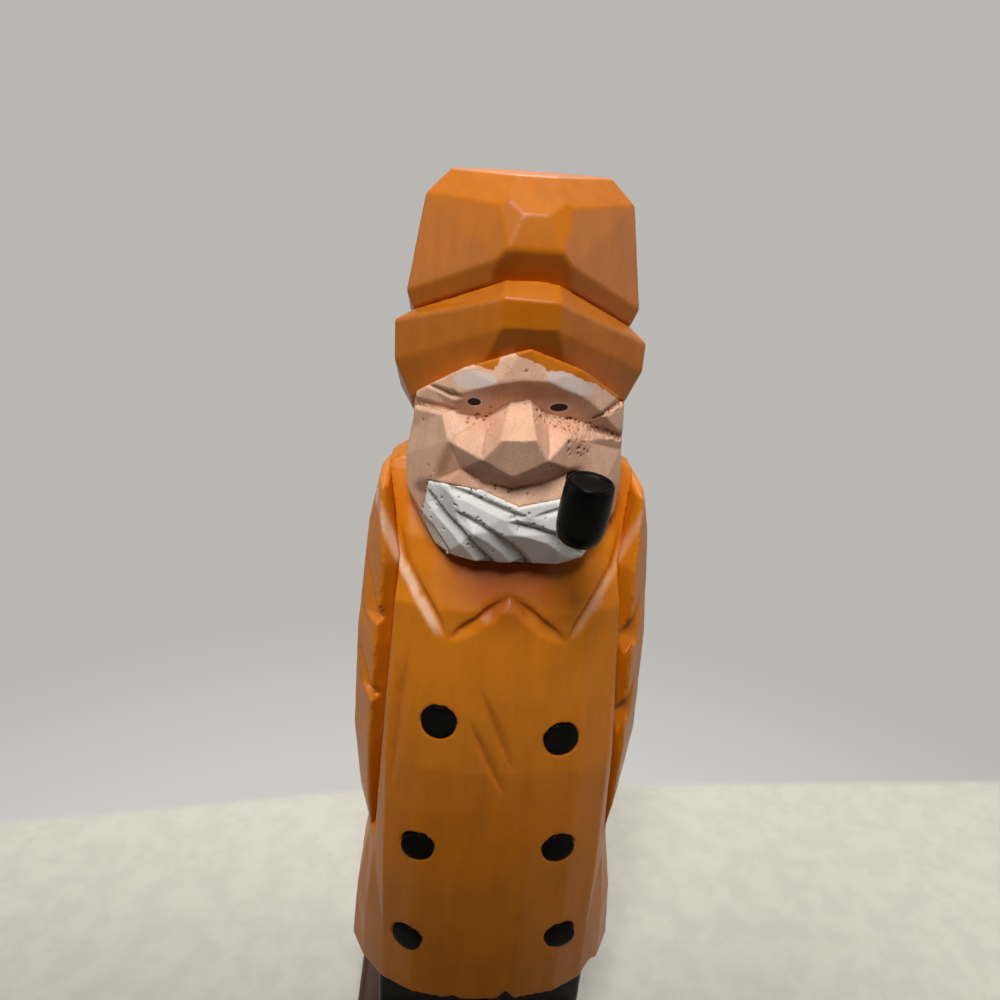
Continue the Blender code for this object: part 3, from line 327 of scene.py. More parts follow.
def painted_wood(name, colour, deep, roughness, streak=0.10, relief=0.00003, shine=0.25, pinholes=0.0,
                 shade_in_hollows=0.45, grit=0.06, dress=None):
    """Satin paint over knife-cut wood: streaks along the grain, painted shade in hollows, rubbed edges.

    deep is the colour of pits and specks and of the painted shade in hollows, and the hollow shade share
    and grit say how much of it shows in hollows and in specks. streak is how far the tone wanders, relief
    the depth of the grain in metres, shine the strength of the gloss, and pinholes the share of cells with
    a pinhole in the paint. dress is a function that lays more paint or painted shade over the base colour,
    and a painted highlight lies where the mesh marks one.
    """
    material, tree, shader = new_material(name)
    place = object_place(tree)
    clouds = noise(tree, place, CLOUDS, 3.0)
    fibres = noise(tree, place, FIBRES, 3.0, (1.0, 1.0, 0.05))
    brush = noise(tree, place, BRUSH_STROKES, 2.0, (1.0, 1.0, 0.10))
    flecks = noise(tree, place, FLECKS, 1.0)
    tone = plus(tree, times(tree, clouds, 0.55), times(tree, brush, 0.45))
    darker = [channel * (1.0 - 1.5 * streak) for channel in colour]
    lighter = [min(1.0, channel * (1.0 + streak)) for channel in colour]
    base = blend_colour(tree, ramp(tree, tone, 0.33, 0.67), darker, lighter)
    base = blend_colour(tree, times(tree, ramp(tree, fibres, 0.58, 0.75), streak * 1.2), base, deep)
    # Painted shade: hollows are darkened towards the deep colour.
    hollow = ramp(tree, attribute(tree, "hollow"), 0.25, 1.0)
    base = blend_colour(tree, times(tree, hollow, shade_in_hollows), base, deep)
    worn = times(tree, ramp(tree, attribute(tree, "ridge"), 0.35, 1.0), ramp(tree, brush, 0.45, 0.6))
    base = blend_colour(tree, times(tree, worn, 0.35), base, lighter)
    base = blend_colour(tree, times(tree, ramp(tree, flecks, 0.50, 0.72), grit), base, deep)
    if dress:
        base = dress(tree, place, base)
    # Painted highlight: where the mesh marks the collar's edges, the paint is lightened towards a pale
    # colour, broken up by the brush strokes.
    rub = times(tree, attribute(tree, "rub"), ramp(tree, brush, 0.22, 0.48))
    base = blend_colour(tree, times(tree, rub, 0.85, clamp=True), base, COLLAR_HIGHLIGHT)
    cells = add_node(tree, "ShaderNodeTexVoronoi", {"Vector": place, "Scale": 1.0 / PINHOLE_CELL}).outputs
    chosen = maths(tree, "GREATER_THAN", apart(tree, cells["Color"])[0], 1.0 - pinholes)
    hole = times(tree, chosen, ramp(tree, cells["Distance"], 0.075, 0.045))
    pit = maths(tree, "MAXIMUM", ramp(tree, attribute(tree, "pit"), 0.25, 0.8), hole)
    base = blend_colour(tree, times(tree, pit, 0.8), base, deep)
    dull = plus(tree, times(tree, clouds, 0.16), roughness - 0.08)
    dull = plus(tree, dull, times(tree, pit, 0.3), clamp=True)
    height = plus(tree, times(tree, fibres, 0.6), times(tree, flecks, 0.4))
    set_inputs(tree, shader, {"Base Color": base, "Roughness": dull, "Specular IOR Level": shine,
                              "Normal": bumps(tree, height, relief)})
    return material


def black_enamel():
    """Black enamel of buttons and pipe, thick enough to hide the grain, with dust and duller places."""
    made = bpy.data.materials.get("black_enamel")
    if made:
        return made
    paint, _ = settings()
    material, tree, shader = new_material("black_enamel")
    place = object_place(tree)
    clouds = noise(tree, place, 0.004, 3.0)
    dust = ramp(tree, noise(tree, place, 0.0005, 2.0), 0.66, 0.76)
    grey = [channel + 0.012 for channel in paint.black]
    set_inputs(tree, shader, {
        "Base Color": blend_colour(tree, times(tree, dust, 0.5), paint.black, grey),
        "Roughness": plus(tree, times(tree, clouds, 0.16), 0.20),
        "Specular IOR Level": 0.05,
        "Normal": bumps(tree, clouds, 0.00012),
    })
    return material


def bare_dowel(name, colour):
    """Unpainted dowel with its grain along its length."""
    material, tree, shader = new_material(name)
    fibres = noise(tree, object_place(tree), 0.0009, 4.0, (1.0, 1.0, 0.06))
    deep = [channel * 0.55 for channel in colour]
    grained = blend_colour(tree, ramp(tree, fibres, 0.4, 0.65), colour, deep)
    relief = bumps(tree, fibres, 0.00005)
    set_inputs(tree, shader, {"Base Color": grained, "Roughness": 0.75, "Normal": relief})
    return material


def daub(tree, place, across, up, half_width, half_height, turn=0.0, soft=0.12):
    """An oval mark of paint or painted shade on the figure's front, as a share from 0 to 1.

    across and up are millimetres from the face's middle and from the chin, and turn is in degrees.
    """
    middle = (across / 1000.0, 0.0, CHIN + up / 1000.0)
    size = (half_width / 1000.0, 1.0, half_height / 1000.0)
    lean = (0.0, -math.radians(turn), 0.0)
    inputs = {"Vector": place, "Location": middle, "Rotation": lean, "Scale": size}
    turned = add_node(tree, "ShaderNodeMapping", inputs, vector_type="TEXTURE").outputs[0]
    inside = ramp(tree, far_out(tree, turned), 1.0 + soft, 1.0 - soft)
    return times(tree, inside, ramp(tree, apart(tree, place)[1], 0.0, -0.004))


def paint_face(tree, place, base):
    """The face's painted marks: painted shade at mouth, brows and jaw, blush and other washes, hat paint
    over its edge, brows, and eyes in pale rings.
    """
    paint, _ = settings()
    inputs = {"Vector": place, "Scale": 700.0, "Detail": 2.0}
    wander = add_node(tree, "ShaderNodeTexNoise", inputs).outputs[1]
    wander = vectors(tree, "SUBTRACT", wander, (0.5, 0.5, 0.5))
    shaky = vectors(tree, "MULTIPLY", wander, (0.0009, 0.0, 0.0009))
    rough = vectors(tree, "ADD", place, shaky)
    thin = ramp(tree, noise(tree, place, 0.0016, 3.0), 0.25, 0.5)
    # Painted shade and other washes, each an oval
    for mark, share, colour, soft in FACE_MARKS_AND_SHADE:
        base = blend_colour(tree, times(tree, daub(tree, rough, *mark, soft), share), base, colour)
    ragged = times(tree, minus(tree, noise(tree, place, FIBRES, 2.0), 0.5), 0.9)
    over = ramp(tree, plus(tree, attribute(tree, "over"), ragged), -0.08, 0.08)
    base = blend_colour(tree, over, base, paint.hat)
    for mark in BROWS:
        smear = times(tree, daub(tree, rough, *mark), plus(tree, thin, 0.6), clamp=True)
        base = blend_colour(tree, times(tree, smear, 0.85), base, paint.brow)
    for across, up, wide, high, turn in EYES:
        ring = daub(tree, place, across, up, wide + EYE_RING, high + EYE_RING, turn, 0.08)
        base = blend_colour(tree, times(tree, ring, 0.75), base, paint.brow)
        base = blend_colour(tree, daub(tree, place, across, up, wide, high, turn, 0.06), base, paint.black)
    return base


def beard_shadow_on_coat(tree, place, base):
    """Painted shadow on the coat under the beard."""
    paint, _ = settings()
    shadow_share = times(tree, daub(tree, place, -0.5, -2.0, 13.0, 12.0, 0.0, 0.6), 0.8)
    return blend_colour(tree, shadow_share, base, paint.oilskin_deep)


def orange_paint(name, colour, shine, dress=None):
    """The orange paint of hat or coat."""
    paint, _ = settings()
    # A weak share of painted shade in the orange paint's hollows
    return painted_wood(name, colour, paint.oilskin_deep, roughness=0.38, streak=0.07, shine=shine,
                        pinholes=0.06, shade_in_hollows=0.22, dress=dress)


def coat_paint():
    """The orange paint that coat and sleeves share."""
    paint, _ = settings()
    made = bpy.data.materials.get("oilskin_paint")
    # The coat's paint carries the painted shadow under the beard.
    return made or orange_paint("oilskin_paint", paint.oilskin, shine=0.34, dress=beard_shadow_on_coat)


def new_group(name, inputs):
    """A node tree that takes geometry and named inputs and gives geometry, and what it is given."""
    tree = bpy.data.node_groups.new(name, "GeometryNodeTree")
    tree.interface.new_socket("Geometry", in_out="INPUT", socket_type="NodeSocketGeometry")
    for label, kind, default in inputs:
        socket = tree.interface.new_socket(label, in_out="INPUT", socket_type="NodeSocket" + kind)
        if default is not None:
            socket.default_value = default
    tree.interface.new_socket("Geometry", in_out="OUTPUT", socket_type="NodeSocketGeometry")
    return tree, add_node(tree, "NodeGroupInput").outputs


def end_group(tree, geometry, paint):
    """Ends a node tree: instances made real, painted, and given out."""
    whole = add_node(tree, "GeometryNodeRealizeInstances", {"Geometry": geometry}).outputs[0]
    done = add_node(tree, "GeometryNodeSetMaterial", {"Geometry": whole, "Material": paint}).outputs[0]
    add_node(tree, "NodeGroupOutput", {"Geometry": done})


def carried(tree, name, kind):
    """A value that the mesh carries at its points, for a geometry tree."""
    node = add_node(tree, "GeometryNodeInputNamedAttribute", {"Name": name}, data_type=kind)
    return node.outputs["Attribute"]


def knife_finish_tree():
    """Node tree that waves a skin as a knife leaves it and presses torn-out pits into it."""
    tree, given = new_group("Knife finish", (
        ("Wobble Size", "Float", 0.006),
        ("Wobble Depth", "Float", 0.0002),
        ("Pits per Square Metre", "Float", 0.0),
        ("Pit Radius", "Float", 0.0004),
        ("Pit Depth", "Float", 0.0003),
        ("Seed", "Int", 1),
        ("Paint", "Material", None),
    ))
    place = add_node(tree, "GeometryNodeInputPosition").outputs[0]
    outward = add_node(tree, "GeometryNodeInputNormal").outputs[0]

    def swell(vector, scale, detail):
        """Seeded noise that swings about zero."""
        inputs = {"Vector": vector, "W": given["Seed"], "Scale": scale, "Detail": detail}
        lumps = add_node(tree, "ShaderNodeTexNoise", inputs, noise_dimensions="4D").outputs[0]
        return minus(tree, lumps, 0.5)

    def push(skin, distance):
        """Moves a skin's points outwards by a distance."""
        inputs = {0: outward, "Scale": distance}
        offset = add_node(tree, "ShaderNodeVectorMath", inputs, operation="SCALE").outputs[0]
        return add_node(tree, "GeometryNodeSetPosition", {"Geometry": skin, "Offset": offset}).outputs[0]

    waves = swell(place, maths(tree, "DIVIDE", 1.0, given["Wobble Size"]), 1.0)
    ribs = swell(vectors(tree, "MULTIPLY", place, (1.0, 1.0, 0.12)), 420.0, 2.0)
    wave = plus(tree, waves, times(tree, ribs, 0.22))
    waved = push(given["Geometry"], times(tree, wave, given["Wobble Depth"]))
    density = times(tree, carried(tree, "pit_zone", "FLOAT"), given["Pits per Square Metre"])
    inputs = {"Mesh": waved, "Density": density, "Seed": given["Seed"]}
    pits = add_node(tree, "GeometryNodeDistributePointsOnFaces", inputs, distribute_method="RANDOM")
    inputs = {"Geometry": pits.outputs[0]}
    near = add_node(tree, "GeometryNodeProximity", inputs, target_element="POINTS").outputs["Distance"]
    inputs = {"Vector": place, "Scale": 1600.0, "Detail": 0.0}
    uneven = plus(tree, times(tree, add_node(tree, "ShaderNodeTexNoise", inputs).outputs[0], 1.6), 0.2)
    torn = ramp(tree, near, times(tree, given["Pit Radius"], uneven), 0.0)
    inputs = {"A": given["Pits per Square Metre"], "B": 0.0}
    some = add_node(tree, "FunctionNodeCompare", inputs, data_type="FLOAT", operation="GREATER_THAN")
    torn = times(tree, torn, some.outputs[0])
    inputs = {"Geometry": waved, "Name": "pit", "Value": torn}
    marked = add_node(tree, "GeometryNodeStoreNamedAttribute", inputs, data_type="FLOAT", domain="POINT")
    pitted = push(marked.outputs[0], times(tree, times(tree, torn, given["Pit Depth"]), -1.0))
    end_group(tree, pitted, given["Paint"])
    return tree


def add_object(name, data):
    """A new object in the scene."""
    thing = bpy.data.objects.new(name, data)
    bpy.context.scene.collection.objects.link(thing)
    return thing


def built_mesh(bm, name):
    """A mesh of what has been built."""
    mesh = bpy.data.meshes.new(name)
    bm.to_mesh(mesh)
    bm.free()
    return mesh


def apply_modifiers(thing):
    """Makes the result of an object's modifiers its plain mesh."""
    bpy.context.view_layer.update()
    graph = bpy.context.evaluated_depsgraph_get()
    mesh = bpy.data.meshes.new_from_object(thing.evaluated_get(graph), depsgraph=graph)
    thing.modifiers.clear()
    old = thing.data
    thing.data = mesh
    mesh.name = thing.name
    bpy.data.meshes.remove(old)


def run_tree(thing, tree, values):
    """Runs a node tree on an object with the named inputs and keeps the result as its plain mesh."""
    step = thing.modifiers.new(tree.name, "NODES")
    step.node_group = tree
    for item in tree.interface.items_tree:
        if item.item_type == "SOCKET" and item.in_out == "INPUT" and item.name in values:
            step[item.identifier] = values[item.name]
    apply_modifiers(thing)


def carved_copy(node, grain, rubs, thickness=PAINT_THICKNESS, ending="_carved"):
    """A copy of a solid with its skin rebuilt in even cells, its edges rubbed down, and paint laid on."""
    bm = bmesh.new()
    bm.from_mesh(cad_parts[node].data)
    bmesh.ops.remove_doubles(bm, verts=bm.verts, dist=MERGE_DISTANCE)
    thing = add_object(node + ending, built_mesh(bm, node + ending))
    cells = thing.modifiers.new("Cells", "REMESH")
    cells.mode = "VOXEL"
    cells.voxel_size = grain
    rub = thing.modifiers.new("Rub", "SMOOTH")
    rub.factor = 0.5
    rub.iterations = rubs
    swell = thing.modifiers.new("Swell", "DISPLACE")
    swell.mid_level = 0.0
    swell.strength = thickness
    apply_modifiers(thing)
    return thing


def points_of(mesh):
    """Places and outward directions of a mesh's points as arrays."""
    arrays = []
    for values, name in ((mesh.vertices, "co"), (mesh.vertex_normals, "vector")):
        flat = np.empty(len(values) * 3)
        values.foreach_get(name, flat)
        arrays.append(flat.reshape(-1, 3))
    return arrays


def store(mesh, name, values):
    """Keeps a number at each point of a mesh, for its paint or its pits."""
    layer = mesh.attributes.new(name, "FLOAT", "POINT")
    layer.data.foreach_set("value", values)


def front_path(pairs):
    """Turns millimetres across and up from the chin into metres."""
    return [(across / 1000.0, CHIN + up / 1000.0) for across, up in pairs]


def along_path(places, path):
    """Each point's distance to a path seen from the front, side and metres along it, and its length."""
    flat = places[:, [0, 2]]
    best = np.full(len(flat), np.inf)
    side = np.zeros(len(flat))
    travel = np.zeros(len(flat))
    walked = 0.0
    for start, end in zip(path, path[1:]):
        start, end = np.array(start), np.array(end)
        step = end - start
        length = np.linalg.norm(step)
        share = np.clip(((flat - start) @ step) / length ** 2, 0.0, 1.0)
        away = flat - (start + share[:, None] * step)
        distance = np.linalg.norm(away, axis=1)
        closer = distance < best
        best[closer] = distance[closer]
        side[closer] = np.sign(step[0] * away[closer, 1] - step[1] * away[closer, 0])
        travel[closer] = walked + share[closer] * length
        walked += length
    return best, side, travel, walked


def press_cut(thing, path, widths, depth, lean, taper, front=0.0):
    """Presses a V cut with flat walls into the front of an object's skin along a path.

    widths are the cut's widths at its start and end. lean shifts the bottom of the V sideways. The cut
    runs out to nothing over the length taper at both ends, and skin behind front is left alone.
    """
    mesh = thing.data
    places, outward = points_of(mesh)
    distance, side, travel, length = along_path(places, path)
    fade = np.clip(np.minimum(travel, length - travel) / taper, 0.0, 1.0)
    width = widths[0] + (widths[1] - widths[0]) * travel / length
    half = width / 2 * (0.35 + 0.65 * fade) * (1.0 + lean * side)
    share = np.clip(1.0 - distance / half, 0.0, 1.0) * fade * width / max(widths)
    share[(outward[:, 1] > -0.05) | (places[:, 1] > front)] = 0.0
    inward = -0.5 * outward + np.array([0.0, 0.5, 0.0])
    inward /= np.maximum(np.linalg.norm(inward, axis=1), 1e-6)[:, None]
    places += inward * (share * depth)[:, None]
    mesh.vertices.foreach_set("co", places.ravel())
    mesh.update()


def mark_pits(thing, everywhere, paths):
    """Says how thickly torn-out pits lie: a little everywhere, more along paths of a given half width."""
    places, _ = points_of(thing.data)
    zone = np.full(len(places), everywhere)
    for path, half, amount in paths:
        distance = along_path(places, path)[0]
        zone = np.maximum(zone, amount * (distance < half) * (places[:, 1] < 0.0))
    store(thing.data, "pit_zone", zone)


def mark_highlights(thing, paths):
    """Says where a painted highlight lies on the collar's edges, along paths of a given half width and
    strength.
    """
    places, _ = points_of(thing.data)
    highlighted = np.zeros(len(places))
    for path, half, amount in paths:
        distance, _, travel, length = along_path(places, path)
        fade = np.clip(np.minimum(travel, length - travel) / HIGHLIGHT_FADE, 0.0, 1.0)
        near = np.clip(1.6 - distance / half, 0.0, 1.0)
        highlighted = np.maximum(highlighted, amount * fade * near * (places[:, 1] < 0.0))
    store(thing.data, "rub", highlighted)


def mark_over(thing, path):
    """Stores how many millimetres each point of the front lies above a path, held within one."""
    places, _ = points_of(thing.data)
    distance, side, _, _ = along_path(places, path)
    above = np.clip(side * distance * 1000.0, -1.0, 1.0)
    store(thing.data, "over", np.where(places[:, 1] < 0.0, above, -1.0))


def mark_relief(mesh, grain):
    """Stores how much each point lies on a ridge or in a hollow, for the paint's worn edges and its
    painted shade in hollows.
    """
    places, outward = points_of(mesh)
    ends = np.empty(len(mesh.edges) * 2, dtype=np.int64)
    mesh.edges.foreach_get("vertices", ends)
    ends = ends.reshape(-1, 2)
    count = np.bincount(ends.ravel(), minlength=len(places)).astype(float)
    count[count == 0] = 1.0

    def neighbours(values):
        """The mean of each point's neighbours."""
        total = np.bincount(ends[:, 0], values[ends[:, 1]], len(places))
        total += np.bincount(ends[:, 1], values[ends[:, 0]], len(places))
        return total / count

    middle = np.stack([neighbours(places[:, i]) for i in range(3)], axis=1)
    curl = np.einsum("ij,ij->i", middle - places, outward)
    for _ in range(4):
        curl = 0.5 * curl + 0.5 * neighbours(curl)
    for name, values in (("ridge", -curl), ("hollow", curl)):
        store(mesh, name, np.clip(values / (FULL_RELIEF * grain), 0.0, 1.0))


def finish_piece(thing, node, grain, paint, pits=0):
    """Waves, pits, thins and paints a carved copy, and hangs it on the figure in its node's stead."""
    _, carving = settings()
    if "pit_zone" not in thing.data.attributes:
        mark_pits(thing, everywhere=1.0, paths=[])
    run_tree(thing, bpy.data.node_groups.get("Knife finish") or knife_finish_tree(), {
        "Wobble Size": carving.wobble_size,
        "Wobble Depth": carving.wobble_depth,
        "Pits per Square Metre": float(pits),
        "Pit Radius": carving.pit_radius,
        "Pit Depth": carving.pit_depth,
        "Seed": carving.seed,
        "Paint": paint,
    })
    mark_relief(thing.data, grain)
    triangles = sum(len(face.vertices) - 2 for face in thing.data.polygons)
    if triangles > carving.face_limit:
        thin = thing.modifiers.new("Thin", "DECIMATE")
        thin.ratio = carving.face_limit / triangles
        apply_modifiers(thing)
    thing.data.shade_smooth()
    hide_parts(node)
    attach(thing, FIGURE)


def collar_highlights():
    """Where the painted highlight lies on the collar's edges: the figure's right side more than its left.
    """
    edge = [(-30.4, 12.0), (-29.4, 9.1), (-26.7, 1.9), (-24.0, -5.0), (-20.6, -9.4), (-16.6, -15.4),
            (-14.4, -19.0)]
    other = [(-0.6 - across, up) for across, up in edge]
    return [(front_path(edge), 0.0008, 1.0), (front_path(other), 0.0006, 0.4)]


def turned_mesh(name, profile, sides):
    """A round solid turned about Z from (radius, height) pairs, its poles closed by fans."""
    bm = bmesh.new()
    rings = []
    for radius, height in profile:
        if radius == 0.0:
            rings.append([bm.verts.new((0.0, 0.0, height))])
            continue
        angles = [2 * math.pi * i / sides for i in range(sides)]
        rings.append([bm.verts.new((radius * math.cos(a), radius * math.sin(a), height)) for a in angles])
    for low, high in zip(rings, rings[1:]):
        for i in range(sides):
            j = (i + 1) % sides
            corners = [low[i % len(low)], low[j % len(low)], high[j % len(high)], high[i % len(high)]]
            bm.faces.new(list(dict.fromkeys(corners)))
    bmesh.ops.recalc_face_normals(bm, faces=bm.faces)
    mesh = built_mesh(bm, name)
    mesh.shade_smooth()
    return mesh


def round_solid(node, rank, towards):
    """Start, direction, radius and length of a round solid.

    rank says whether its axis is its LONGEST or its SHORTEST direction, and towards says which way the
    axis points.
    """
    places = np.array([vertex.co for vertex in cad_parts[node].data.vertices])
    middle = places.mean(axis=0)
    axis = np.linalg.svd(places - middle, full_matrices=False)[2][rank]
    axis = axis if axis @ np.array(towards) > 0 else -axis
    heights = (places - middle) @ axis
    radius = np.linalg.norm((places - middle) - np.outer(heights, axis), axis=1).max()
    return Vector(middle + axis * heights.min()), Vector(axis), radius, heights.max() - heights.min()


class FISHERMAN_OT_stage(Operator):
    """Pale floor, soft lamps, and the camera at the photographed angle"""
    bl_idname = "fisherman.stage"
    bl_label = "Stage"

    def execute(self, context):
        stage = context.scene.fisherman_stage
        self.add_camera(context, stage)
        self.add_lamps(stage)
        self.add_card(context.scene.camera, stage)
        self.add_floor(stage)
        self.light_world(context, stage)
        context.scene.view_settings.view_transform = "Standard"
        return {"FINISHED"}

    def add_camera(self, context, stage):
        """The camera, turned by its yaw, then down by its pitch, then leant by its roll."""
        yaw, level = stage.yaw, math.cos(stage.pitch)
        forward = Vector((math.sin(yaw) * level, math.cos(yaw) * level, -math.sin(stage.pitch)))
        right = forward.cross(Vector((0.0, 0.0, 1.0))).normalized()
        up = right.cross(forward)
        leant_right = math.cos(stage.roll) * right + math.sin(stage.roll) * up
        leant_up = math.cos(stage.roll) * up - math.sin(stage.roll) * right
        lens = bpy.data.cameras.new("camera")
        lens.lens = stage.lens
        lens.sensor_width = 36.0
        lens.clip_start = 0.01
        camera = bpy.data.objects.new("camera", lens)
        turn = Matrix((leant_right, leant_up, -forward)).transposed().to_4x4()
        camera.matrix_world = Matrix.Translation(Vector(stage.eye)) @ turn
        context.scene.collection.objects.link(camera)
        context.scene.camera = camera

    def add_lamps(self, stage):
        """Each lamp by its direction round the figure, its height angle, width, strength and colour."""
        middle = Vector((0.0, -0.01, 0.15))
        away = 0.70
        lamps = (
            ("front_lamp", -13, 60, 0.26, stage.front, (1.0, 0.99, 0.97)),
            ("left_lamp", -92, 15, 0.40, stage.left, (1.0, 0.99, 0.98)),
            ("right_lamp", 88, 15, 0.40, stage.right, (1.0, 0.98, 0.96)),
            ("rear_lamp", 175, 55, 0.38, stage.rear, (1.0, 0.98, 0.95)),
        )
        for name, around, height, width, strength, colour in lamps:
            around, height = math.radians(around), math.radians(height)
            level = math.cos(height)
            way = Vector((math.sin(around) * level, -math.cos(around) * level, math.sin(height)))
            light = bpy.data.lights.new(name, "AREA")
            light.shape = "DISK"
            light.size = width
            light.energy = strength * (math.pi * away) ** 2
            light.color = colour
            lamp = add_object(name, light)
            lamp.location = middle + way * away
            lamp.rotation_euler = way.to_track_quat("Z", "Y").to_euler()

    def add_card(self, camera, stage):
        """A dark card round the lens, unseen by the camera, which shades the coat's lower half."""
        left, right, low, high = -stage.card_left, stage.card_right, -stage.card_drop, stage.card_rise
        back = 0.012
        corners = [(left, low, back), (right, low, back), (right, high, back), (left, high, back)]
        mesh = bpy.data.meshes.new("shade_card")
        mesh.from_pydata(corners, [], [(0, 1, 2, 3)])
        mesh.transform(camera.matrix_world)
        material, tree, shader = new_material("card_black")
        set_inputs(tree, shader, {"Base Color": (0.02, 0.02, 0.02, 1.0), "Roughness": 0.9})
        mesh.materials.append(material)
        card = add_object("shade_card", mesh)
        card.visible_camera = False

    def add_floor(self, stage):
        """A flat floor under the base."""
        half_width = 1.6
        bm = bmesh.new()
        bmesh.ops.create_grid(bm, x_segments=2, y_segments=2, size=half_width)
        mesh = built_mesh(bm, "floor")
        mesh.materials.append(self.floor_material(stage))
        add_object("floor", mesh)

    def floor_material(self, stage):
        """Pale table top, which gives way to the plain background behind its far edge.

        The edge runs a little askew and bends to the front at the picture's right and left.
        """
        material, tree, shader = new_material("pale_table")
        place = object_place(tree)
        across, back, _ = apart(tree, place)
        behind = minus(tree, back, times(tree, across, 0.057))
        behind = plus(tree, behind, times(tree, maths(tree, "MAXIMUM", across, 0.0), 0.025))
        outer = maths(tree, "MAXIMUM", minus(tree, -0.05, across), 0.0)
        behind = plus(tree, behind, times(tree, outer, 0.085))
        paler = [min(1.0, channel * 1.07) for channel in stage.table]
        cloudy = ramp(tree, noise(tree, place, 0.010, 4.0), 0.38, 0.62)
        mottled = blend_colour(tree, cloudy, stage.table, paler)
        top = blend_colour(tree, seen_directly(tree), (0.16, 0.14, 0.12), mottled)
        set_inputs(tree, shader, {"Base Color": top, "Roughness": 0.6, "Specular IOR Level": 0.2})
        far = ramp(tree, far_out(tree, place), 0.40, 1.0)
        gone = maths(tree, "MAXIMUM", far, ramp(tree, behind, 0.0880, 0.0935))
        clear = add_node(tree, "ShaderNodeBsdfTransparent")
        mix = add_node(tree, "ShaderNodeMixShader", {0: gone, 1: shader.outputs[0], 2: clear.outputs[0]})
        set_inputs(tree, tree.nodes["Material Output"], {"Surface": mix.outputs[0]})
        return material

    def light_world(self, context, stage):
        """Even soft light, and a plain background that is paler low down, for what is seen directly."""
        world = bpy.data.worlds.new("studio")
        context.scene.world = world
        world.use_nodes = True
        tree = world.node_tree
        tree.nodes.clear()
        inputs = {"Color": (1.0, 0.98, 0.95, 1.0), "Strength": stage.ambient}
        soft = add_node(tree, "ShaderNodeBackground", inputs).outputs[0]
        way = add_node(tree, "ShaderNodeTexCoord").outputs["Generated"]
        low_down = ramp(tree, apart(tree, way)[2], -0.54, -0.71)
        wall = blend_colour(tree, low_down, stage.wall, stage.wall_low)
        back = add_node(tree, "ShaderNodeBackground", {"Color": wall, "Strength": 1.0}).outputs[0]
        mix = add_node(tree, "ShaderNodeMixShader", {0: seen_directly(tree), 1: soft, 2: back})
        add_node(tree, "ShaderNodeOutputWorld", {"Surface": mix.outputs[0]})


class FISHERMAN_OT_hat(Operator):
    """Crown and turned-up brim of the sou'wester"""
    bl_idname = "fisherman.hat"
    bl_label = "Sou'wester"

    def execute(self, context):
        paint, carving = settings()
        # Painted shade: the hat takes the darker copy of the orange paint.
        orange = orange_paint("hat_paint", paint.hat, shine=0.32)
        for node in ("hat_crown", "hat_brim"):
            piece = carved_copy(node, carving.hat_grain, rubs=3)
            finish_piece(piece, node, carving.hat_grain, orange)
        return {"FINISHED"}


class FISHERMAN_OT_head(Operator):
    """Head with its knife planes, crow's feet, torn-out pits and painted marks"""
    bl_idname = "fisherman.head"
    bl_label = "Head"

    def execute(self, context):
        paint, carving = settings()
        piece = carved_copy("head", carving.face_grain, rubs=2)
        # Each crease by its path, its widths at start and end, and its depth
        creases = (
            ([(-20.4, 35.3), (-16.9, 35.0), (-14.2, 34.9), (-11.8, 35.4)], (0.0009, 0.0026), 0.0012),
            ([(-22.4, 29.9), (-16.5, 31.2), (-12.2, 32.2)], (0.0030, 0.0010), 0.0013),
            ([(13.0, 31.2), (16.6, 32.4), (21.5, 33.4)], (0.0012, 0.0026), 0.0012),
            ([(12.0, 29.2), (16.6, 27.6), (22.0, 24.6)], (0.0010, 0.0026), 0.0011),
        )
        for pairs, widths, depth in creases:
            press_cut(piece, front_path(pairs), widths, depth, lean=0.35, taper=0.0015)
        # Torn-out places by their path, half width, and how thickly the pits lie
        torn = (
            ([(2.1, 32.7), (5.5, 31.2), (10.2, 30.4), (15.1, 28.5), (20.5, 25.2)], 0.0008, 1.0),
            ([(6.5, 30.2), (8.4, 29.5), (10.4, 28.9), (13.0, 28.4)], 0.0009, 0.7),
            ([(9.0, 27.5), (12.1, 25.4)], 0.0016, 0.5),
            ([(-10.8, 30.3), (-8.5, 30.9), (-6.5, 31.2)], 0.0009, 0.45),
            ([(13.9, 31.6), (16.6, 32.1), (19.7, 32.5)], 0.0006, 0.8),
            ([(-5.0, 18.0), (-1.6, 17.5), (2.8, 18.2)], 0.0008, 0.25),
        )
        paths = [(front_path(pairs), half, amount) for pairs, half, amount in torn]
        mark_pits(piece, everywhere=0.004, paths=paths)
        hat_edge = [(-24.0, 50.0), (-10.4, 46.0), (-10.0, 41.5), (-6.4, 41.0), (-4.6, 44.8), (-3.7, 44.6),
                    (2.2, 42.5), (3.3, 41.3), (7.9, 40.6), (12.9, 38.5), (18.5, 34.2), (26.0, 28.0)]
        mark_over(piece, front_path(hat_edge))
        skin = painted_wood("skin_paint", paint.skin, paint.skin_deep, roughness=0.5, streak=0.07,
                            relief=0.00013, grit=0.26, dress=paint_face)
        finish_piece(piece, "head", carving.face_grain, skin, FACE_PITS)
        return {"FINISHED"}


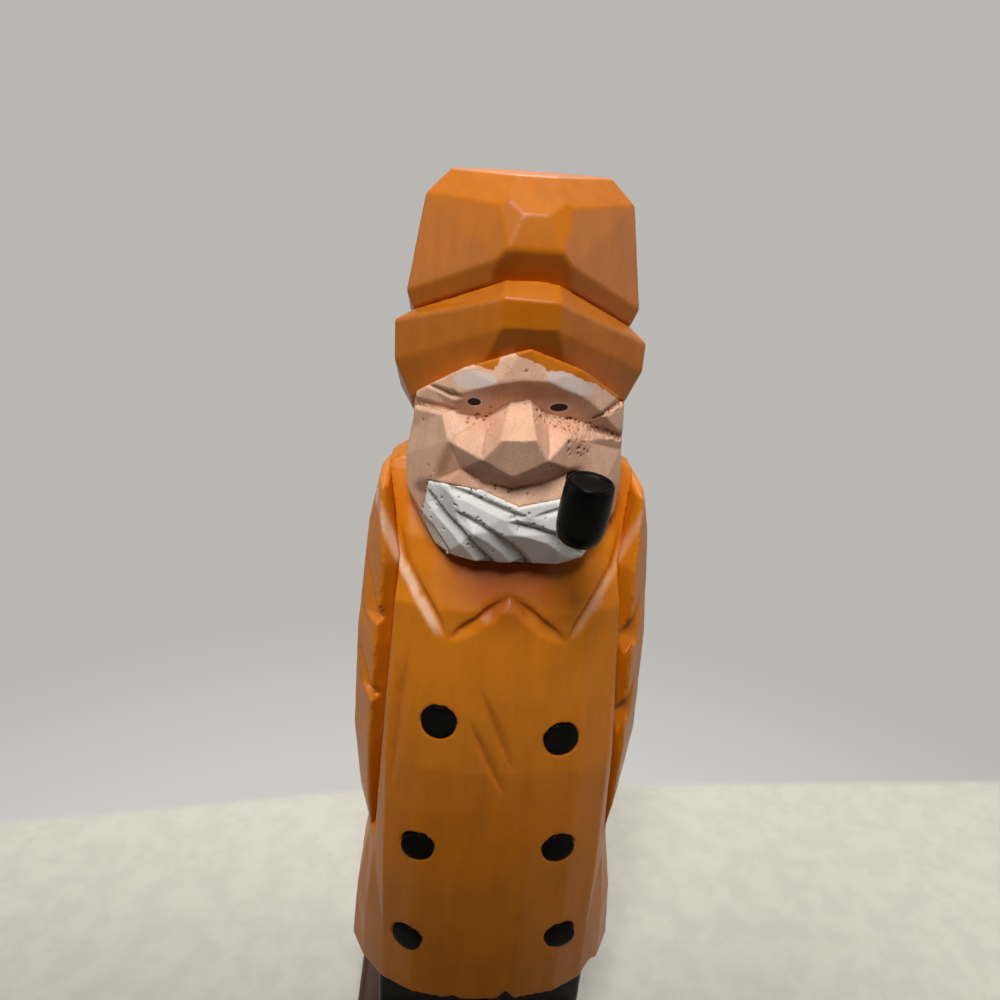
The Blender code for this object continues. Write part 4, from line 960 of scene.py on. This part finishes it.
class FISHERMAN_OT_beard(Operator):
    """Beard with its sweeping locks"""
    bl_idname = "fisherman.beard"
    bl_label = "Beard"

    def execute(self, context):
        paint, carving = settings()
        grain = carving.face_grain * 0.9
        piece = carved_copy("beard", grain, rubs=1, thickness=BEARD_PAINT_THICKNESS)
        # Each cut between locks by its path, its widths at start and end, and its depth
        locks = (
            ([(-15.6, 18.4), (-14.1, 17.7), (-9.2, 16.4), (-4.6, 14.7), (-0.8, 13.3), (1.5, 12.9)],
             (0.0022, 0.0030), 0.0010),
            ([(-18.4, 14.6), (-14.7, 10.6), (-11.4, 7.9), (-8.7, 5.1), (-5.8, 1.2), (-3.2, -2.5)],
             (0.0030, 0.0036), 0.0014),
            ([(-12.6, 12.5), (-7.9, 10.6), (-4.2, 8.0), (-0.5, 4.5), (1.7, 1.4), (3.8, -2.5)],
             (0.0030, 0.0044), 0.0016),
            ([(-2.2, 11.6), (3.3, 10.1), (7.4, 8.6), (10.6, 5.8), (14.6, 1.2)], (0.0032, 0.0040), 0.0014),
            ([(-19.2, 8.0), (-15.6, 3.4), (-12.2, -1.5)], (0.0030, 0.0032), 0.0011),
            ([(2.6, 12.9), (7.6, 14.3), (13.5, 15.6)], (0.0014, 0.0022), 0.0008),
        )
        for pairs, widths, depth in locks:
            press_cut(piece, front_path(pairs), widths, depth, lean=-0.32, taper=0.0025, front=-0.008)
        torn = [(front_path([(across, up + 0.9) for across, up in pairs]), 0.0007, 0.8)
                for pairs, _, _ in locks[:4]]
        mark_pits(piece, everywhere=0.04, paths=torn)
        # A strong share of painted shade in the beard's cuts
        white = painted_wood("beard_paint", paint.beard, paint.beard_deep, roughness=0.55, streak=0.05,
                             shade_in_hollows=0.6)
        finish_piece(piece, "beard", grain, white, BEARD_PITS)
        return {"FINISHED"}


class FISHERMAN_OT_coat(Operator):
    """Body of the oilskin coat"""
    bl_idname = "fisherman.coat"
    bl_label = "Coat"

    def execute(self, context):
        _, carving = settings()
        piece = carved_copy("coat", carving.coat_grain, rubs=2)
        # Painted highlight along the collar's edges
        mark_highlights(piece, collar_highlights())
        finish_piece(piece, "coat", carving.coat_grain, coat_paint())
        return {"FINISHED"}


class FISHERMAN_OT_sleeves(Operator):
    """Both sleeves, lying against the coat"""
    bl_idname = "fisherman.sleeves"
    bl_label = "Sleeves"

    def execute(self, context):
        _, carving = settings()
        for node in ("sleeve_left", "sleeve_right"):
            piece = carved_copy(node, carving.boot_grain, rubs=3)
            # Painted highlight along the collar's edges
            mark_highlights(piece, collar_highlights())
            finish_piece(piece, node, carving.boot_grain, coat_paint())
        return {"FINISHED"}


class FISHERMAN_OT_buttons(Operator):
    """Six black buttons, all from one turned blank"""
    bl_idname = "fisherman.buttons"
    bl_label = "Buttons"

    def execute(self, context):
        turned = context.scene.fisherman_turned
        nodes = sorted(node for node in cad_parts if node.startswith("button_"))
        seats = [round_solid(node, SHORTEST, (0.0, -1.0, 0.0)) for node in nodes]
        radius = max(seat[2] for seat in seats)
        length = max(seat[3] for seat in seats)
        blank = bpy.data.objects.new("button_blank", self.blank_mesh(turned, radius, length))
        mesh = bpy.data.meshes.new("buttons")
        mesh.from_pydata([tuple(back) for back, _, _, _ in seats], [], [])
        facing = mesh.attributes.new("facing", "FLOAT_VECTOR", "POINT")
        for i, (_, outward, _, _) in enumerate(seats):
            facing.data[i].vector = outward
        piece = add_object("buttons", mesh)
        values = {"Blank": blank, "Paint": black_enamel(), "Seed": turned.button_seed}
        run_tree(piece, self.row_tree(), values)
        piece.data.shade_smooth()
        bpy.data.objects.remove(blank)
        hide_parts(*nodes)
        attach(piece, FIGURE)
        return {"FINISHED"}

    def blank_mesh(self, turned, radius, length):
        """A plug with a softly crowned face."""
        crown = turned.button_crown
        edge = length - crown * 1.6
        profile = [(0.0, 0.0), (radius, 0.0), (radius, edge * 0.9), (radius * 0.985, edge),
                   (radius * 0.93, length - crown), (radius * 0.7, length - crown * 0.45),
                   (radius * 0.4, length - crown * 0.12), (0.0, length)]
        return turned_mesh("button_blank", profile, turned.button_sides)

    def row_tree(self):
        """Node tree that sets the turned blank on each point, facing outwards, a little unevenly."""
        tree, given = new_group("Button row", (
            ("Blank", "Object", None),
            ("Paint", "Material", None),
            ("Seed", "Int", 1),
        ))
        blank = add_node(tree, "GeometryNodeObjectInfo", {"Object": given["Blank"]}).outputs["Geometry"]
        facing = carried(tree, "facing", "FLOAT_VECTOR")
        aim = add_node(tree, "FunctionNodeAlignRotationToVector", {"Vector": facing}, axis="Z").outputs[0]
        inputs = {0: (0.95, 0.95, 1.0), 1: (1.0, 1.0, 1.0), "Seed": given["Seed"]}
        uneven = add_node(tree, "FunctionNodeRandomValue", inputs, data_type="FLOAT_VECTOR").outputs[0]
        inputs = {"Points": given["Geometry"], "Instance": blank, "Rotation": aim, "Scale": uneven}
        row = add_node(tree, "GeometryNodeInstanceOnPoints", inputs).outputs[0]
        end_group(tree, row, given["Paint"])
        return tree


class FISHERMAN_OT_pipe(Operator):
    """Turned bowl and stem of the pipe"""
    bl_idname = "fisherman.pipe"
    bl_label = "Pipe"

    def execute(self, context):
        sides = context.scene.fisherman_turned.pipe_sides
        pieces = (("pipe_bowl", self.bowl_profile, (0.0, 0.0, 1.0)),
                  ("pipe_stem", self.stem_profile, (0.0, -1.0, 0.0)))
        for node, profile, towards in pieces:
            foot, axis, radius, length = round_solid(node, LONGEST, towards)
            mesh = turned_mesh(node + "_turned", profile(radius, length), sides)
            mesh.transform(Matrix.Translation(foot) @ axis.to_track_quat("Z", "Y").to_matrix().to_4x4())
            mesh.materials.append(black_enamel())
            piece = add_object(node + "_turned", mesh)
            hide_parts(node)
            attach(piece, PIPE)
        return {"FINISHED"}

    def bowl_profile(self, radius, height):
        """A barrel with a rounded foot, a rolled rim and a shallow dished top."""
        outside = [(0.0, 0.0), (0.30, 0.005), (0.52, 0.022), (0.70, 0.055), (0.84, 0.11), (0.93, 0.19),
                   (0.98, 0.30), (1.0, 0.45), (1.0, 0.62), (0.98, 0.80), (0.955, 0.92), (0.93, 0.965),
                   (0.89, 0.99), (0.83, 1.0), (0.77, 0.998), (0.71, 0.985), (0.55, 0.972), (0.30, 0.967),
                   (0.0, 0.965)]
        return [(share * radius, up * height) for share, up in outside]

    def stem_profile(self, radius, length):
        """A straight stem with softened ends."""
        soft = radius * 0.25
        return [(0.0, 0.0), (radius * 0.8, 0.0), (radius, soft), (radius, length - soft),
                (radius * 0.8, length), (0.0, length)]


class FISHERMAN_OT_boots(Operator):
    """Both black boots"""
    bl_idname = "fisherman.boots"
    bl_label = "Boots"

    def execute(self, context):
        paint, carving = settings()
        # The boots' hollows carry painted shade by the default share.
        black = painted_wood("boot_paint", paint.black, BOOT_DEEP, roughness=0.24, relief=0.00004)
        for node in ("boot_left", "boot_right"):
            piece = carved_copy(node, carving.boot_grain, rubs=3)
            finish_piece(piece, node, carving.boot_grain, black, BOOT_PITS)
        return {"FINISHED"}


class FISHERMAN_OT_base(Operator):
    """Stained base that the boots stand on"""
    bl_idname = "fisherman.base"
    bl_label = "Base"

    def execute(self, context):
        paint, carving = settings()
        piece = carved_copy("base", carving.boot_grain, rubs=2, ending="_planed")
        # The base's hollows carry painted shade by the default share.
        stain = painted_wood("base_stain", paint.stain, STAIN_DEEP, roughness=0.42, streak=0.16,
                             relief=0.00005)
        finish_piece(piece, "base", carving.boot_grain, stain, BASE_PITS)
        return {"FINISHED"}


class FISHERMAN_OT_dowels(Operator):
    """Bare wood on the hidden dowels"""
    bl_idname = "fisherman.dowels"
    bl_label = "Dowels"

    def execute(self, context):
        paint, _ = settings()
        wood = bare_dowel("bare_dowel", paint.bare)
        for node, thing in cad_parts.items():
            if "peg" in node:
                for slot in thing.material_slots:
                    slot.material = wood
        return {"FINISHED"}


GROUPS = {
    "fisherman_paint": FISHERMAN_PG_paint,
    "fisherman_carving": FISHERMAN_PG_carving,
    "fisherman_turned": FISHERMAN_PG_turned,
    "fisherman_stage": FISHERMAN_PG_stage,
}
STEPS = (FISHERMAN_OT_stage, FISHERMAN_OT_hat, FISHERMAN_OT_head, FISHERMAN_OT_beard, FISHERMAN_OT_coat,
         FISHERMAN_OT_sleeves, FISHERMAN_OT_buttons, FISHERMAN_OT_pipe, FISHERMAN_OT_boots,
         FISHERMAN_OT_base, FISHERMAN_OT_dowels)


class FISHERMAN_PT_panel(Panel):
    """Lists the pieces and their settings"""
    bl_label = "Carved Fisherman"
    bl_idname = "FISHERMAN_PT_panel"
    bl_space_type = "VIEW_3D"
    bl_region_type = "UI"
    bl_category = "Fisherman"

    def draw(self, context):
        for operator in STEPS:
            self.layout.operator(operator.bl_idname)
        for name, group in GROUPS.items():
            box = self.layout.box()
            for setting in group.__annotations__:
                box.prop(getattr(context.scene, name), setting)


def register():
    """Adds the settings, the operators and the panel to Blender."""
    for name, group in GROUPS.items():
        bpy.utils.register_class(group)
        setattr(bpy.types.Scene, name, PointerProperty(type=group))
    for operator in STEPS:
        bpy.utils.register_class(operator)
    bpy.utils.register_class(FISHERMAN_PT_panel)


def unregister():
    """Takes the panel, the operators and the settings out again."""
    bpy.utils.unregister_class(FISHERMAN_PT_panel)
    for operator in reversed(STEPS):
        bpy.utils.unregister_class(operator)
    for name, group in GROUPS.items():
        delattr(bpy.types.Scene, name)
        bpy.utils.unregister_class(group)


def main():
    """Registers the classes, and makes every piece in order."""
    register()
    for operator in STEPS:
        group, name = operator.bl_idname.split(".")
        getattr(getattr(bpy.ops, group), name)()


if __name__ == "__main__":
    main()
